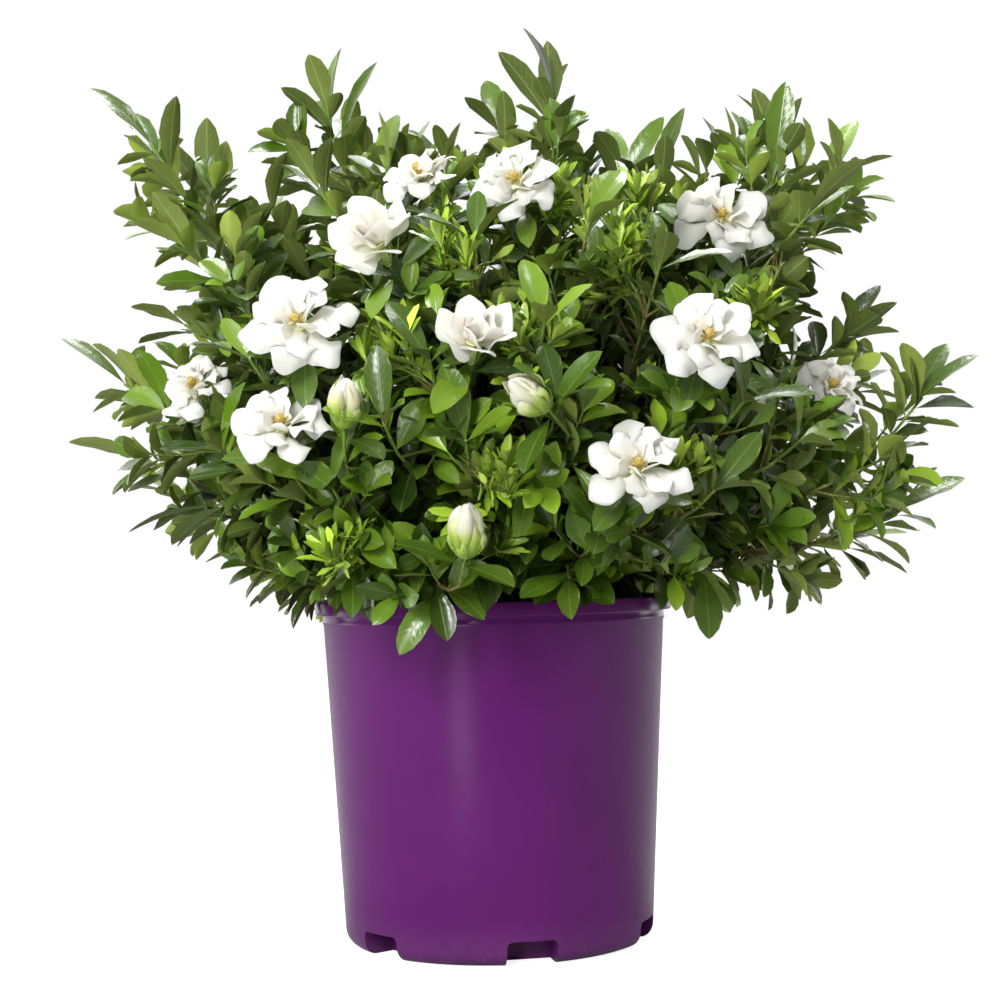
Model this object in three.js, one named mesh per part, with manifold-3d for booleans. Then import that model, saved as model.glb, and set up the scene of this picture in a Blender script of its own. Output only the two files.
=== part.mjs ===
// A gardenia shrub in a nursery pot, in millimetres: +Z up, origin on the ground under the pot's axis,
// -Y the side that is looked at. Every cane with its shoots and leaves is one solid that stands in a
// plain hole in the soil, and every corolla, its golden centre and every bud is a solid of its own.
import * as THREE from "three";
import { mergeVertices } from "three/addons/utils/BufferGeometryUtils.js";
import Module from "manifold-3d";

const wasm = await Module();
wasm.setup();

// Driving dimensions of the pot
const POT_HEIGHT = 224;
const RIM_RADIUS = 118;
const LIP_HEIGHT = 9.7;
const WALL_TOP_RADIUS = 113;
const WALL_FOOT_RADIUS = 101.5;
const WALL_THICKNESS = 2.4;
const FOOT_ROUND = 9;
const FOOT_INNER_RADIUS = 68;
const BASE_RECESS = 5;
const POT_SIDES = 28;
const DRAIN = { count: 6, first: 11.7, width: 32, height: 15.5, reach: 24, holeRadius: 6 };

// Driving dimensions of the soil and the plant
const GAP = 0.3;
const SEAT_GAP = 0.4;
const SOIL_DEPTH_BELOW_RIM = 19;
const SOIL_CROWN = 4;
const SOIL_SIDES = 24;
const SOIL_DRAW_IN = 0.995;
const SOIL_TOP = POT_HEIGHT - SOIL_DEPTH_BELOW_RIM;
const BASE_HEIGHT = SOIL_TOP + SOIL_CROWN + 1;
const PEG_DEPTH = 28;
const HOLE_SIDES = 6;
const CROWN = new THREE.Vector3(0, 0, SOIL_TOP - 5);
const CANE = { foot: 3.4, top: 2.5, sides: 4, steps: 3, forkLift: 22 };
const SHOOT = { foot: 1.32, top: 0.95, sides: 3, longStep: 55 };
const FORK = { low: 0.42, high: 0.99, follow: 0.5 };
const LEAF = { length: 50, width: 17.5, widest: 0.38, keel: 1.1, fold: 0.12 };
const WHORL = { count: 3, belowBloom: 9, spreadBelowBloom: 78, spread: 40, moreSpread: 22 };
const COROLLA = { tube: 20, tubeFoot: 1.9, throat: 5.6 };
const PETAL_KEEL = 1.1;
const BUD_SLENDERNESS = 1.5;
const CENTRE = { height: 9, foot: 1.3, top: 2.3 };
const SHRUB_SEED = 20260;
const LEAST_EDGE = 0.02;

// The canopy's dome, which the shoots that face the viewer end on
const DOME = { centre: new THREE.Vector3(0, 0, 335), radii: new THREE.Vector3(225, 212, 188) };

// The front view that the shrub is laid out in is seen from the eye. A spot in it is the [x, z] that
// the eye sees a point at, on the upright plane through the pot's axis. A depth is behind that plane.
const EYE = new THREE.Vector3(6, -1300, 255);

// The canes' rings: how many, how steeply they rise, where they stand and how far up they fork
const RINGS = [
  { count: 4, turn: 45, rise: 74, foot: 11, reach: 165 },
  { count: 6, turn: 0, rise: 44, foot: 26, reach: 135 },
  { count: 6, turn: 30, rise: 15, foot: 42, reach: 118 },
];

// Shoots on the outline: the spot and depth of the shoot's end, and the spots of its leaves' tips
const OUTLINE_SHOOTS = [
  { end: [-223, 532], depth: -30, tips: [[-263, 570], [-238, 554], [-205, 564], [-241, 538], [-228, 523]] },
  { end: [-187, 500], depth: 70, tips: [[-185, 549], [-172, 533], [-213, 533]] },
  { end: [-201, 463], depth: -90, tips: [[-235, 480], [-224, 485], [-222, 500]] },
  { end: [-177, 436], depth: 110, tips: [[-216, 434], [-221, 462], [-201, 437]] },
  { end: [-202, 410], depth: -110, tips: [[-238, 423], [-233, 398], [-206, 420]] },
  { end: [-243, 371], depth: 90, tips: [[-285, 403], [-264, 398], [-247, 395], [-263, 362]] },
  { end: [-221, 355], depth: -100, tips: [[-248, 347], [-234, 394]] },
  { end: [-227, 319], depth: -40, tips: [[-281, 333], [-248, 314]] },
  { end: [-206, 294], depth: 90, tips: [[-245, 302], [-237, 312]] },
  { end: [-184, 289], depth: -70, tips: [[-242, 272], [-213, 263]] },
  { end: [-153, 262], depth: 60, tips: [[-191, 251], [-158, 234]] },
  { end: [-120, 243], depth: -60, tips: [[-145, 230], [-135, 252]] },
  { end: [-93, 244], depth: -135, tips: [[-94, 212], [-114, 225]] },
  { end: [-35, 231], depth: -142, tips: [[-63, 187], [-12, 236]] },
  { end: [-16, 249], depth: -158, tips: [[-5, 214], [-58, 240]] },
  { end: [51, 236], depth: -140, tips: [[52, 208], [69, 221], [18, 223]] },
  { end: [141, 238], depth: -75, tips: [[143, 193], [129, 207], [160, 215]] },
  { end: [191, 245], depth: 80, tips: [[196, 223], [214, 222], [176, 224]] },
  { end: [238, 252], depth: 50, tips: [[276, 234], [248, 232], [277, 261]] },
  { end: [276, 278], depth: -60, tips: [[298, 304], [316, 297], [263, 305]] },
  { end: [267, 313], depth: -90, tips: [[299, 337], [292, 319]] },
  { end: [289, 351], depth: -80, tips: [[277, 388], [307, 387], [328, 379], [265, 350]] },
  { end: [249, 360], depth: 110, tips: [[252, 392], [267, 370], [245, 334]] },
  { end: [245, 397], depth: 20, tips: [[239, 423], [263, 427], [274, 415], [275, 395]] },
  { end: [210, 450], depth: 90, tips: [[238, 452]] },
  { end: [216, 475], depth: -60, tips: [[256, 511], [248, 494], [194, 471]] },
  { end: [238, 508], depth: 40, tips: [[231, 540], [250, 538]] },
  { end: [215, 508], depth: 100, tips: [[214, 541], [207, 538]] },
  { end: [200, 519], depth: -20, tips: [[170, 557], [181, 561], [203, 565], [214, 554]] },
  { end: [168, 513], depth: 60, tips: [[162, 549], [147, 542]] },
  { end: [149, 507], depth: 20, tips: [[145, 528], [132, 530]] },
  { end: [119, 494], depth: -70, tips: [[122, 531], [135, 549]] },
  { end: [94, 508], depth: 90, tips: [[75, 534], [84, 536], [121, 543]] },
  { end: [51, 512], depth: 120, tips: [[63, 537]] },
  { end: [46, 556], depth: 0, tips: [[28, 605], [44, 596], [11, 589], [58, 580], [62, 559]] },
  { end: [11, 536], depth: 70, tips: [[-12, 559], [3, 570], [14, 563]] },
  { end: [-26, 514], depth: 110, tips: [[-32, 541], [-57, 538], [-15, 542]] },
  { end: [-66, 514], depth: -60, tips: [[-70, 551], [-58, 548]] },
  { end: [-104, 552], depth: 30, tips: [[-116, 590], [-94, 594], [-135, 568], [-70, 584]] },
  { end: [-93, 525], depth: 100, tips: [[-87, 562], [-79, 545]] },
  { end: [-111, 499], depth: -80, tips: [[-132, 534], [-139, 516]] },
  { end: [-150, 459], depth: 80, tips: [[-157, 496], [-174, 493]] },
];

// Shoots that face the eye, by the spot where each one's end meets the dome
const FACING_SHOOTS = [
  [-7, 463], [70, 473], [38, 405], [-39, 383], [-70, 340], [-107, 301], [-16, 329], [47, 354],
  [171, 352], [149, 292], [207, 324], [72, 267], [-159, 386], [-180, 326], [116, 443],
];

// Shoots of the far side: places tried, their turns from the front and their rises, how far the ends
// of shoots are from each other there, and how near they are to the dome
const FAR_SHOOTS = { tries: 70, firstTurn: 92, spread: 176, lowest: -28, highest: 72, apart: 62 };
const FAR_SHOOT_SHARE = { least: 0.9, more: 0.14 };
const FAR_BLOOM_SHARE = 1.03;

// Blooms by their spot on the dome, the way they face, their width, and how far they stand out of the
// dome. Those of the far side are placed by their turn from the front and their rise.
const BLOOMS = [
  { form: "open", spot: [-43, 507], faces: [-0.3, -0.55, 0.78], across: 58, lift: -10 },
  { form: "cup", spot: [-73, 464], faces: [-0.3, -0.75, 0.6], across: 66, lift: 22 },
  { form: "open", spot: [21, 502], faces: [-0.25, -0.9, 0.3], across: 64, lift: 0 },
  { form: "open", spot: [158, 475], faces: [0.05, -0.95, 0.3], across: 74, lift: 12 },
  { form: "open", spot: [-127, 410], faces: [-0.05, -0.93, 0.35], across: 72, lift: 20 },
  { form: "cup", spot: [-9, 397], faces: [0.1, -0.8, 0.6], across: 58, lift: 16 },
  { form: "open", spot: [147, 394], faces: [0.05, -0.92, 0.38], across: 70, lift: 20 },
  { form: "open", spot: [-196, 368], faces: [-0.25, -0.75, 0.6], across: 56, lift: -25 },
  { form: "open", spot: [-139, 341], faces: [0.02, -0.74, 0.67], across: 66, lift: 22 },
  { form: "bud", spot: [-96, 355], faces: [0.1, -0.4, 0.9], across: 20, lift: 14 },
  { form: "bud", spot: [27, 358], faces: [-0.72, -0.45, 0.52], across: 20, lift: 12 },
  { form: "open", spot: [98, 309], faces: [0.08, -0.9, 0.42], across: 68, lift: 18 },
  { form: "bud", spot: [-17, 268], faces: [0.05, -0.2, 0.97], across: 21, lift: 14 },
  { form: "open", spot: [228, 359], faces: [0.35, -0.8, 0.5], across: 56, lift: -20 },
  { form: "open", turn: 131, rise: 37, across: 68 },
  { form: "open", turn: 158, rise: 15, across: 70 },
  { form: "open", turn: 204, rise: 41, across: 66 },
  { form: "open", turn: 226, rise: 12, across: 68 },
  { form: "cup", turn: 177, rise: 62, across: 60 },
  { form: "bud", turn: 134, rise: 2, across: 20 },
];

// The rings of petals of an open bloom and of a half open one. A petal's root is so far from the
// bloom's axis and so deep in its throat. Its reach, rise, bow and width are shares of the bloom's
// radius, and turn is the first petal's.
const PETAL_RINGS = {
  open: [
    { count: 6, root: 1.3, depth: 7, reach: 1, rise: -0.06, bow: 0.3, width: 0.7, turn: 30, twist: 0.3 },
    { count: 3, root: 2.4, depth: 2, reach: 0.5, rise: 0.36, bow: -0.1, width: 0.5, turn: 0, twist: 0.2 },
  ],
  cup: [
    { count: 6, root: 1, depth: 7, reach: 0.8, rise: 0.5, bow: -0.1, width: 0.6, turn: 30, twist: 0.3 },
    { count: 3, root: 2, depth: 2, reach: 0.3, rise: 0.8, bow: -0.15, width: 0.46, turn: 0, twist: 0.2 },
  ],
};

// Outlines of blades, from the tip to the root: how far along, and the half width there, as shares
const LEAF_OUTLINE = [[1, 0], [0.62, 1], [0.2, 0.36], [0, 0]];
const LARGE_LEAF_OUTLINE = [[1, 0], [0.8, 0.68], [0.52, 1], [0.18, 0.32], [0, 0]];
const PETAL_OUTLINE = [[1, 0], [0.72, 1], [0.3, 0.5], [0, 0]];

// Colours, roughness and metalness of the finishes
const FINISHES = {
  pot: { color: 0x5a2366, roughness: 0.42 },
  soil: { color: 0x2b211a, roughness: 0.95 },
  foliage: { color: 0x3c6a24, roughness: 0.35 },
  corolla: { color: 0xf4f3ee, roughness: 0.55 },
  centre: { color: 0xd8a53a, roughness: 0.6 },
  bud: { color: 0xe3e8c0, roughness: 0.5 },
};

const UP = new THREE.Vector3(0, 0, 1);
const GOLDEN_TURN = 137.508;
const shrub = new THREE.Group();

// A number from 0 to 1 that depends only on the seed and the whole numbers given
function draw(...keys) {
  let h = SHRUB_SEED;
  for (const key of keys) {
    h = Math.imul(h ^ (key + 0x9e3779b9), 0x85ebca6b);
    h = Math.imul(h ^ (h >>> 13), 0xc2b2ae35);
    h ^= h >>> 16;
  }
  return (h >>> 0) / 4294967296;
}

const vector = (x, y, z) => new THREE.Vector3(x, y, z);
const along = (start, direction, distance) => start.clone().addScaledVector(direction, distance);

// The direction at a turn from the front, clockwise seen from below, and a rise above the horizon
function bearing(turn, rise) {
  const t = THREE.MathUtils.degToRad(turn);
  const r = THREE.MathUtils.degToRad(rise);
  return vector(Math.sin(t) * Math.cos(r), -Math.cos(t) * Math.cos(r), Math.sin(r));
}

// The part of a direction square to an axis, at unit length
function squareTo(direction, axis) {
  return direction.clone().addScaledVector(axis, -direction.dot(axis)).normalize();
}

// The point that the eye sees at a spot, at a depth
function atDepth([x, z], depth) {
  return EYE.clone().lerp(vector(x, 0, z), 1 + depth / -EYE.y);
}

// The point that the eye sees at a spot of the dome, or nearest to it where the dome is missed
function onDome([x, z]) {
  const sight = vector(x, 0, z).sub(EYE);
  const ray = sight.clone().divide(DOME.radii);
  const from = EYE.clone().sub(DOME.centre).divide(DOME.radii);
  const a = ray.lengthSq();
  const b = from.dot(ray);
  const hit = Math.max(b * b - a * (from.lengthSq() - 1), 0);
  return along(EYE, sight, (-b - Math.sqrt(hit)) / a);
}

// The dome's point at a bearing from its centre, moved in or out by a share
function domeAt(turn, rise, share) {
  return DOME.centre.clone().add(bearing(turn, rise).multiply(DOME.radii).multiplyScalar(share));
}

// A closed geometry as a solid that can be joined and cut
function solidOf(geometry) {
  const plain = geometry.clone();
  plain.deleteAttribute("normal");
  plain.deleteAttribute("uv");
  const merged = mergeVertices(plain, 1e-4);
  return new wasm.Manifold(
    new wasm.Mesh({
      numProp: 3,
      vertProperties: new Float32Array(merged.attributes.position.array),
      triVerts: new Uint32Array(merged.index.array),
    }),
  );
}

function geometryOf(solid) {
  const { vertProperties, triVerts } = solid.getMesh();
  return new THREE.BufferGeometry()
    .setAttribute("position", new THREE.BufferAttribute(new Float32Array(vertProperties), 3))
    .setIndex(new THREE.BufferAttribute(new Uint32Array(triVerts), 1));
}

function addNode(name, solid, finish) {
  const geometry = geometryOf(solid.simplify(LEAST_EDGE));
  geometry.computeVertexNormals();
  const mesh = new THREE.Mesh(geometry, new THREE.MeshStandardMaterial(FINISHES[finish]));
  mesh.name = name;
  shrub.add(mesh);
}

// Moves every vertex of a geometry by a function of its position
function reshape(geometry, move) {
  const positions = geometry.attributes.position;
  for (let i = 0; i < positions.count; i++) {
    const p = move(vector(positions.getX(i), positions.getY(i), positions.getZ(i)));
    positions.setXYZ(i, p.x, p.y, p.z);
  }
  return geometry;
}

// Rings along a curve: where each is, and the way the curve heads there
function ringsAlong(curve, steps) {
  return Array.from({ length: steps + 1 }, (_, i) => ({
    at: curve.getPointAt(i / steps),
    heading: curve.getTangentAt(i / steps),
  }));
}

// The point at a share of the way along a stem's straight stretches
function onStem(rings, share) {
  const steps = rings.length - 1;
  const i = Math.min(Math.floor(share * steps), steps - 1);
  return rings[i].at.clone().lerp(rings[i + 1].at, share * steps - i);
}

// How far out the corners of a stem of few sides are, to give it the area of the round one
function fullness(sides) {
  return Math.sqrt((2 * Math.PI) / (sides * Math.sin((2 * Math.PI) / sides)));
}

// A stem through rings
function stem(rings, footRadius, topRadius, sides) {
  const steps = rings.length - 1;
  let normal = Math.abs(rings[0].heading.z) > 0.9 ? vector(1, 0, 0) : UP;
  const normals = rings.map(({ heading }) => (normal = squareTo(normal, heading)));
  return reshape(new THREE.CylinderGeometry(1, 1, 1, sides, steps), (p) => {
    const i = Math.round((p.y + 0.5) * steps);
    const { at, heading } = rings[i];
    const r = THREE.MathUtils.lerp(footRadius, topRadius, i / steps) * fullness(sides);
    return at
      .clone()
      .addScaledVector(heading.clone().cross(normals[i]), p.x * r)
      .addScaledVector(normals[i], p.z * r);
  });
}

// A blade from a root to a tip: a sphere of three sides drawn out to two sharp edges and a keel
// under its rib. outline gives the half width at each ring from the tip to the root, as shares of
// the length and of the width.
function blade({ from, to, bow, face, width, keel, fold, outline }) {
  const rings = outline.length - 1;
  const rib = new THREE.QuadraticBezierCurve3(from, from.clone().lerp(to, 0.5).add(bow), to);
  return reshape(new THREE.SphereGeometry(1, 3, rings), (p) => {
    const ring = Math.round((Math.acos(THREE.MathUtils.clamp(p.y, -1, 1)) / Math.PI) * rings);
    const [t, half] = outline[ring];
    const isEdge = p.x > 0;
    const forward = rib.getTangent(t);
    const upper = squareTo(face, forward);
    const across = upper.clone().cross(forward);
    const reach = half * width * 0.5;
    const lift = isEdge ? reach * fold : -keel * Math.sqrt(half);
    return rib
      .getPoint(t)
      .addScaledVector(across, isEdge ? Math.sign(p.z) * reach : 0)
      .addScaledVector(upper, half > 0 ? lift : 0);
  });
}

// A cone or cylinder along a direction, from a point
function peg(from, direction, length, footRadius, topRadius, sides) {
  const turn = new THREE.Quaternion().setFromUnitVectors(vector(0, 1, 0), direction);
  return solidOf(
    new THREE.CylinderGeometry(topRadius, footRadius, length, sides)
      .translate(0, length / 2, 0)
      .applyQuaternion(turn)
      .translate(from.x, from.y, from.z),
  );
}

// Pot and soil

// A profile of [radius, height] turned about the pot's axis
function lathe(profile, sides = POT_SIDES) {
  const points = profile.map(([r, z]) => new THREE.Vector2(r, z));
  return solidOf(new THREE.LatheGeometry(points, sides).rotateX(Math.PI / 2));
}

// Blocks around the foot, where the drainage arches are, grown on every side but the ground's
function drainBlocks(growth) {
  const { count, first, width, height, reach } = DRAIN;
  const depth = reach + growth + 20;
  let blocks = null;
  for (let i = 0; i < count; i++) {
    const box = new THREE.BoxGeometry(width + 2 * growth, depth, 2 * (height + growth));
    box.translate(0, -(WALL_FOOT_RADIUS - reach - growth + depth / 2), 0);
    box.rotateZ(THREE.MathUtils.degToRad(first + (i * 360) / count));
    const block = solidOf(box);
    blocks = blocks ? blocks.add(block) : block;
  }
  return blocks;
}

// A hole through the wall over each arch
function drainHoles() {
  const { count, first, height, reach, holeRadius } = DRAIN;
  let holes = null;
  for (let i = 0; i < count; i++) {
    const hole = new THREE.CylinderGeometry(holeRadius, holeRadius, 12, 6)
      .rotateX(Math.PI / 2)
      .translate(0, -(WALL_FOOT_RADIUS - reach + holeRadius + 4), height)
      .rotateZ(THREE.MathUtils.degToRad(first + (i * 360) / count));
    holes = holes ? holes.add(solidOf(hole)) : solidOf(hole);
  }
  return holes;
}

// What the pot's walls enclose, drawn in by a clearance, up to the points given for its top
function potInside(clearance, top) {
  const drawIn = WALL_THICKNESS + clearance;
  return lathe([
    [0, BASE_RECESS + drawIn],
    [FOOT_INNER_RADIUS - drawIn, BASE_RECESS + drawIn],
    [FOOT_INNER_RADIUS + BASE_RECESS - drawIn / 2, drawIn],
    [WALL_FOOT_RADIUS - FOOT_ROUND - drawIn / 3, drawIn],
    [WALL_FOOT_RADIUS - drawIn, FOOT_ROUND + 1],
    [WALL_TOP_RADIUS - drawIn, POT_HEIGHT - LIP_HEIGHT],
    ...top,
  ]).subtract(drainBlocks(drawIn));
}

function pot() {
  const lipFoot = POT_HEIGHT - LIP_HEIGHT;
  const mouthRadius = WALL_TOP_RADIUS + 1.4;
  const outside = lathe([
    [0, BASE_RECESS],
    [FOOT_INNER_RADIUS, BASE_RECESS],
    [FOOT_INNER_RADIUS + BASE_RECESS, 0],
    [WALL_FOOT_RADIUS - FOOT_ROUND, 0],
    [WALL_FOOT_RADIUS - FOOT_ROUND * 0.3, FOOT_ROUND * 0.3],
    [WALL_FOOT_RADIUS, FOOT_ROUND + 1],
    [WALL_TOP_RADIUS, lipFoot],
    [RIM_RADIUS, lipFoot + 0.6],
    [RIM_RADIUS, POT_HEIGHT - 1.6],
    [RIM_RADIUS - 1.6, POT_HEIGHT],
    [0, POT_HEIGHT],
  ]).subtract(drainBlocks(0));
  const inside = potInside(0, [
    [mouthRadius, POT_HEIGHT - 2],
    [mouthRadius, POT_HEIGHT + 1],
    [0, POT_HEIGHT + 1],
  ]);
  return outside.subtract(inside).subtract(drainHoles());
}

// The soil fills the pot down to the drainage arches, is low around its edge and high in the middle,
// and has a hole for each foot
function soil(feet) {
  const clear = WALL_THICKNESS + GAP;
  const archRadius = WALL_FOOT_RADIUS - DRAIN.reach - clear;
  const archTop = DRAIN.height + clear;
  const slope = (WALL_TOP_RADIUS - WALL_FOOT_RADIUS) / (POT_HEIGHT - LIP_HEIGHT - FOOT_ROUND - 1);
  const wallAt = (z) => (WALL_FOOT_RADIUS + (z - FOOT_ROUND - 1) * slope - clear) * SOIL_DRAW_IN;
  let body = lathe([
    [0, BASE_RECESS + clear],
    [archRadius * SOIL_DRAW_IN, BASE_RECESS + clear],
    [archRadius * SOIL_DRAW_IN, archTop],
    [wallAt(archTop), archTop],
    [wallAt(SOIL_TOP), SOIL_TOP + 1],
    [WALL_TOP_RADIUS * 0.8, SOIL_TOP - 1.5],
    [WALL_TOP_RADIUS * 0.5, SOIL_TOP + 2.5],
    [0, SOIL_TOP + SOIL_CROWN],
  ], SOIL_SIDES);
  for (const foot of feet) {
    const radius = (CANE.foot * fullness(CANE.sides) + GAP) / Math.cos(Math.PI / HOLE_SIDES);
    const bottom = along(foot, UP, -PEG_DEPTH - GAP);
    body = body.subtract(peg(bottom, UP, PEG_DEPTH + 20, radius, radius, HOLE_SIDES));
  }
  return body;
}

// Canes, shoots and leaves

// Canes rise from their rings, upright at first, and lean out to their forks
function makeCanes() {
  const canes = [];
  for (const { count, turn, rise, foot, reach } of RINGS) {
    for (let i = 0; i < count; i++) {
      const caneTurn = turn + (i * 360) / count;
      const heading = bearing(caneTurn, rise);
      const base = bearing(caneTurn, 0).multiplyScalar(foot).setZ(BASE_HEIGHT);
      const fork = along(CROWN, heading, reach).add(vector(0, 0, CANE.forkLift));
      const curve = new THREE.CubicBezierCurve3(
        base,
        along(base, UP, reach * 0.36),
        along(fork, heading, -reach * 0.3),
        fork,
      );
      canes.push({ heading, base, curve, rings: ringsAlong(curve, CANE.steps), shoots: [] });
    }
  }
  return canes;
}

// An outline shoot points to its leaves' tips, each as far before or behind its end as its length needs
function outlineShoot({ end: spot, depth, tips }) {
  const end = atDepth(spot, depth);
  const ends = tips.map((tip, i) => {
    const flat = atDepth(tip, depth).distanceTo(end);
    const away = Math.sqrt(Math.max(LEAF.length ** 2 * 0.9 - flat ** 2, 100));
    return atDepth(tip, depth + away * (i % 2 ? 0.7 : -0.7));
  });
  const middle = ends.reduce((sum, p) => sum.add(p), vector(0, 0, 0)).divideScalar(ends.length);
  const outward = end.clone().sub(CROWN).normalize();
  const heading = middle.sub(end).normalize().addScaledVector(outward, 0.6).normalize();
  return { end, heading, tips: ends };
}

// A bloom's shoot ends just under its tube
function bloomShoot(bloom, i) {
  const { spot, lift, turn, rise, form, across } = bloom;
  const middle = spot
    ? along(onDome(spot), vector(spot[0], 0, spot[1]).sub(EYE).normalize(), -lift)
    : domeAt(turn, rise, FAR_BLOOM_SHARE);
  const faces = spot ? vector(...bloom.faces) : along(bearing(turn, rise), UP, 0.35);
  faces.normalize();
  const stalk = form === "bud" ? across * BUD_SLENDERNESS * 0.5 : COROLLA.tube;
  const end = along(middle, faces, -stalk - SEAT_GAP);
  return { end, heading: faces, bloom: { form, across, middle, faces, number: i + 1 } };
}

// Every shoot: its end, the way it points there, and what it carries
function makeShoots() {
  const shoots = [
    ...OUTLINE_SHOOTS.map(outlineShoot),
    ...FACING_SHOOTS.map((spot) => ({ end: onDome(spot) })),
    ...BLOOMS.map(bloomShoot),
  ];
  const { tries, firstTurn, spread, lowest, highest, apart } = FAR_SHOOTS;
  for (let i = 0; i < tries; i++) {
    const turn = firstTurn + ((i * GOLDEN_TURN) % spread);
    const rise = lowest + ((highest - lowest) * (i + 0.5)) / tries;
    const share = FAR_SHOOT_SHARE.least + FAR_SHOOT_SHARE.more * draw(1, i);
    const end = domeAt(turn, rise, share);
    if (shoots.every((other) => other.end.distanceTo(end) > apart)) shoots.push({ end });
  }
  shoots.forEach((shoot, i) => {
    shoot.number = i;
    shoot.outward = shoot.end.clone().sub(CROWN).normalize();
    shoot.heading ??= along(shoot.outward, UP, 0.45).normalize();
  });
  return shoots;
}

// Hands each shoot to the cane that heads its way, lowest first, and bends it from there to its end
function joinShoots(canes, shoots) {
  for (const shoot of shoots) {
    const nearest = canes.reduce((a, b) =>
      a.heading.dot(shoot.outward) > b.heading.dot(shoot.outward) ? a : b,
    );
    nearest.shoots.push(shoot);
  }
  for (const cane of canes) {
    cane.shoots.sort((a, b) => a.end.z - b.end.z);
    cane.shoots.forEach((shoot, i) => {
      const share = (i + 0.9) / cane.shoots.length;
      const t = FORK.low + (FORK.high - FORK.low) * share;
      const start = onStem(cane.rings, t);
      const span = start.distanceTo(shoot.end);
      const straight = shoot.end.clone().sub(start).normalize();
      const leaving = cane.curve.getTangentAt(t).multiplyScalar(FORK.follow).add(straight);
      shoot.curve = new THREE.CubicBezierCurve3(
        start,
        along(start, leaving.normalize(), span * 0.28),
        along(shoot.end, shoot.heading, -span * 0.3),
        shoot.end,
      );
      const steps = Math.round(shoot.curve.getLength() / SHOOT.longStep);
      shoot.rings = ringsAlong(shoot.curve, THREE.MathUtils.clamp(steps, 1, 3));
    });
  }
}

// The leaves of a shoot: those whose tips are given, or a whorl around its end
function leavesOf(shoot) {
  const { number, curve, rings, tips, bloom } = shoot;
  if (tips) {
    return tips.map((to, i) => {
      const from = onStem(rings, 1 - 0.045 * i - 0.01);
      const lean = draw(2, number, i) - 0.5;
      const side = shoot.outward.clone().cross(UP).normalize();
      const face = along(along(UP, shoot.outward, 0.35), side, lean * 1.8);
      return leafBetween(from, to, face, LARGE_LEAF_OUTLINE, number, i);
    });
  }
  const leaves = [];
  const { count } = WHORL;
  const start = bloom ? 1 - WHORL.belowBloom / curve.getLength() : 0.985;
  const from = onStem(rings, start);
  const axis = curve.getTangentAt(start);
  const first = squareTo(UP, axis);
  for (let i = 0; i < count; i++) {
    const turn = 360 * (draw(3, number) + (i + 0.3 * (draw(4, number, i) - 0.5)) / count);
    const out = first.clone().applyAxisAngle(axis, THREE.MathUtils.degToRad(turn));
    const wide = bloom ? WHORL.spreadBelowBloom : WHORL.spread + WHORL.moreSpread * draw(5, number, i);
    const spread = THREE.MathUtils.degToRad(wide);
    const heading = axis.clone().multiplyScalar(Math.cos(spread));
    heading.addScaledVector(out, Math.sin(spread));
    const length = LEAF.length * (0.8 + 0.3 * draw(6, number, i));
    const face = along(axis, out, -0.8);
    leaves.push(leafBetween(from, along(from, heading, length), face, LEAF_OUTLINE, number, i));
  }
  return leaves;
}

// A leaf, arched a little towards its face and as wide as its length allows
function leafBetween(from, to, face, outline, number, i) {
  const length = from.distanceTo(to);
  const forward = to.clone().sub(from).normalize();
  const bow = squareTo(face, forward).multiplyScalar(length * (0.05 + 0.1 * draw(7, number, i)));
  const width = Math.min(LEAF.width, length * LEAF.widest) * (0.85 + 0.25 * draw(8, number, i));
  const { keel, fold } = LEAF;
  return solidOf(blade({ from, to, bow, face, width, keel, fold, outline }));
}

// Corollas, centres and buds

// Turns a geometry whose axis is +Y to face a bloom's way, and moves it to the bloom's middle
function placed(geometry, { middle, faces }) {
  const turn = new THREE.Quaternion().setFromUnitVectors(vector(0, 1, 0), faces);
  return solidOf(geometry.applyQuaternion(turn).translate(middle.x, middle.y, middle.z));
}

// A ring of petals. Each rises from the tube and lies open, and is turned a little on its own rib.
function petalRing({ number, across }, ring) {
  const { count, root, depth, reach, rise, bow, width, turn, twist } = ring;
  const radius = across / 2;
  const axis = vector(0, 1, 0);
  return Array.from({ length: count }, (_, i) => {
    const jitter = draw(9, number, i, count) - 0.5;
    const angle = THREE.MathUtils.degToRad(turn + ((i + 0.08 * jitter) * 360) / count);
    const out = vector(Math.sin(angle), 0, Math.cos(angle));
    const from = along(out.clone().multiplyScalar(root), axis, -depth);
    const length = reach * radius * (0.95 + 0.1 * draw(10, number, i, count));
    const to = along(out.clone().multiplyScalar(length), axis, radius * (rise + 0.2 * jitter));
    return blade({
      from,
      to,
      bow: vector(0, bow * radius, 0),
      face: along(along(axis, out, -rise), axis.clone().cross(out), twist),
      width: width * radius,
      keel: PETAL_KEEL,
      fold: 0.1,
      outline: PETAL_OUTLINE,
    });
  });
}

// The tube and the rings of petals, joined
function corolla(bloom) {
  const { tube, tubeFoot, throat } = COROLLA;
  const funnel = new THREE.CylinderGeometry(throat, tubeFoot, tube, 6).translate(0, -tube / 2, 0);
  return PETAL_RINGS[bloom.form]
    .flatMap((ring) => petalRing(bloom, ring))
    .reduce((solid, petal) => solid.add(placed(petal, bloom)), placed(funnel, bloom));
}

// The golden centre, a club that stands on the throat
function centre({ middle, faces }) {
  const { height, foot, top } = CENTRE;
  return peg(along(middle, faces, GAP), faces, height, foot, top, 5);
}

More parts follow.
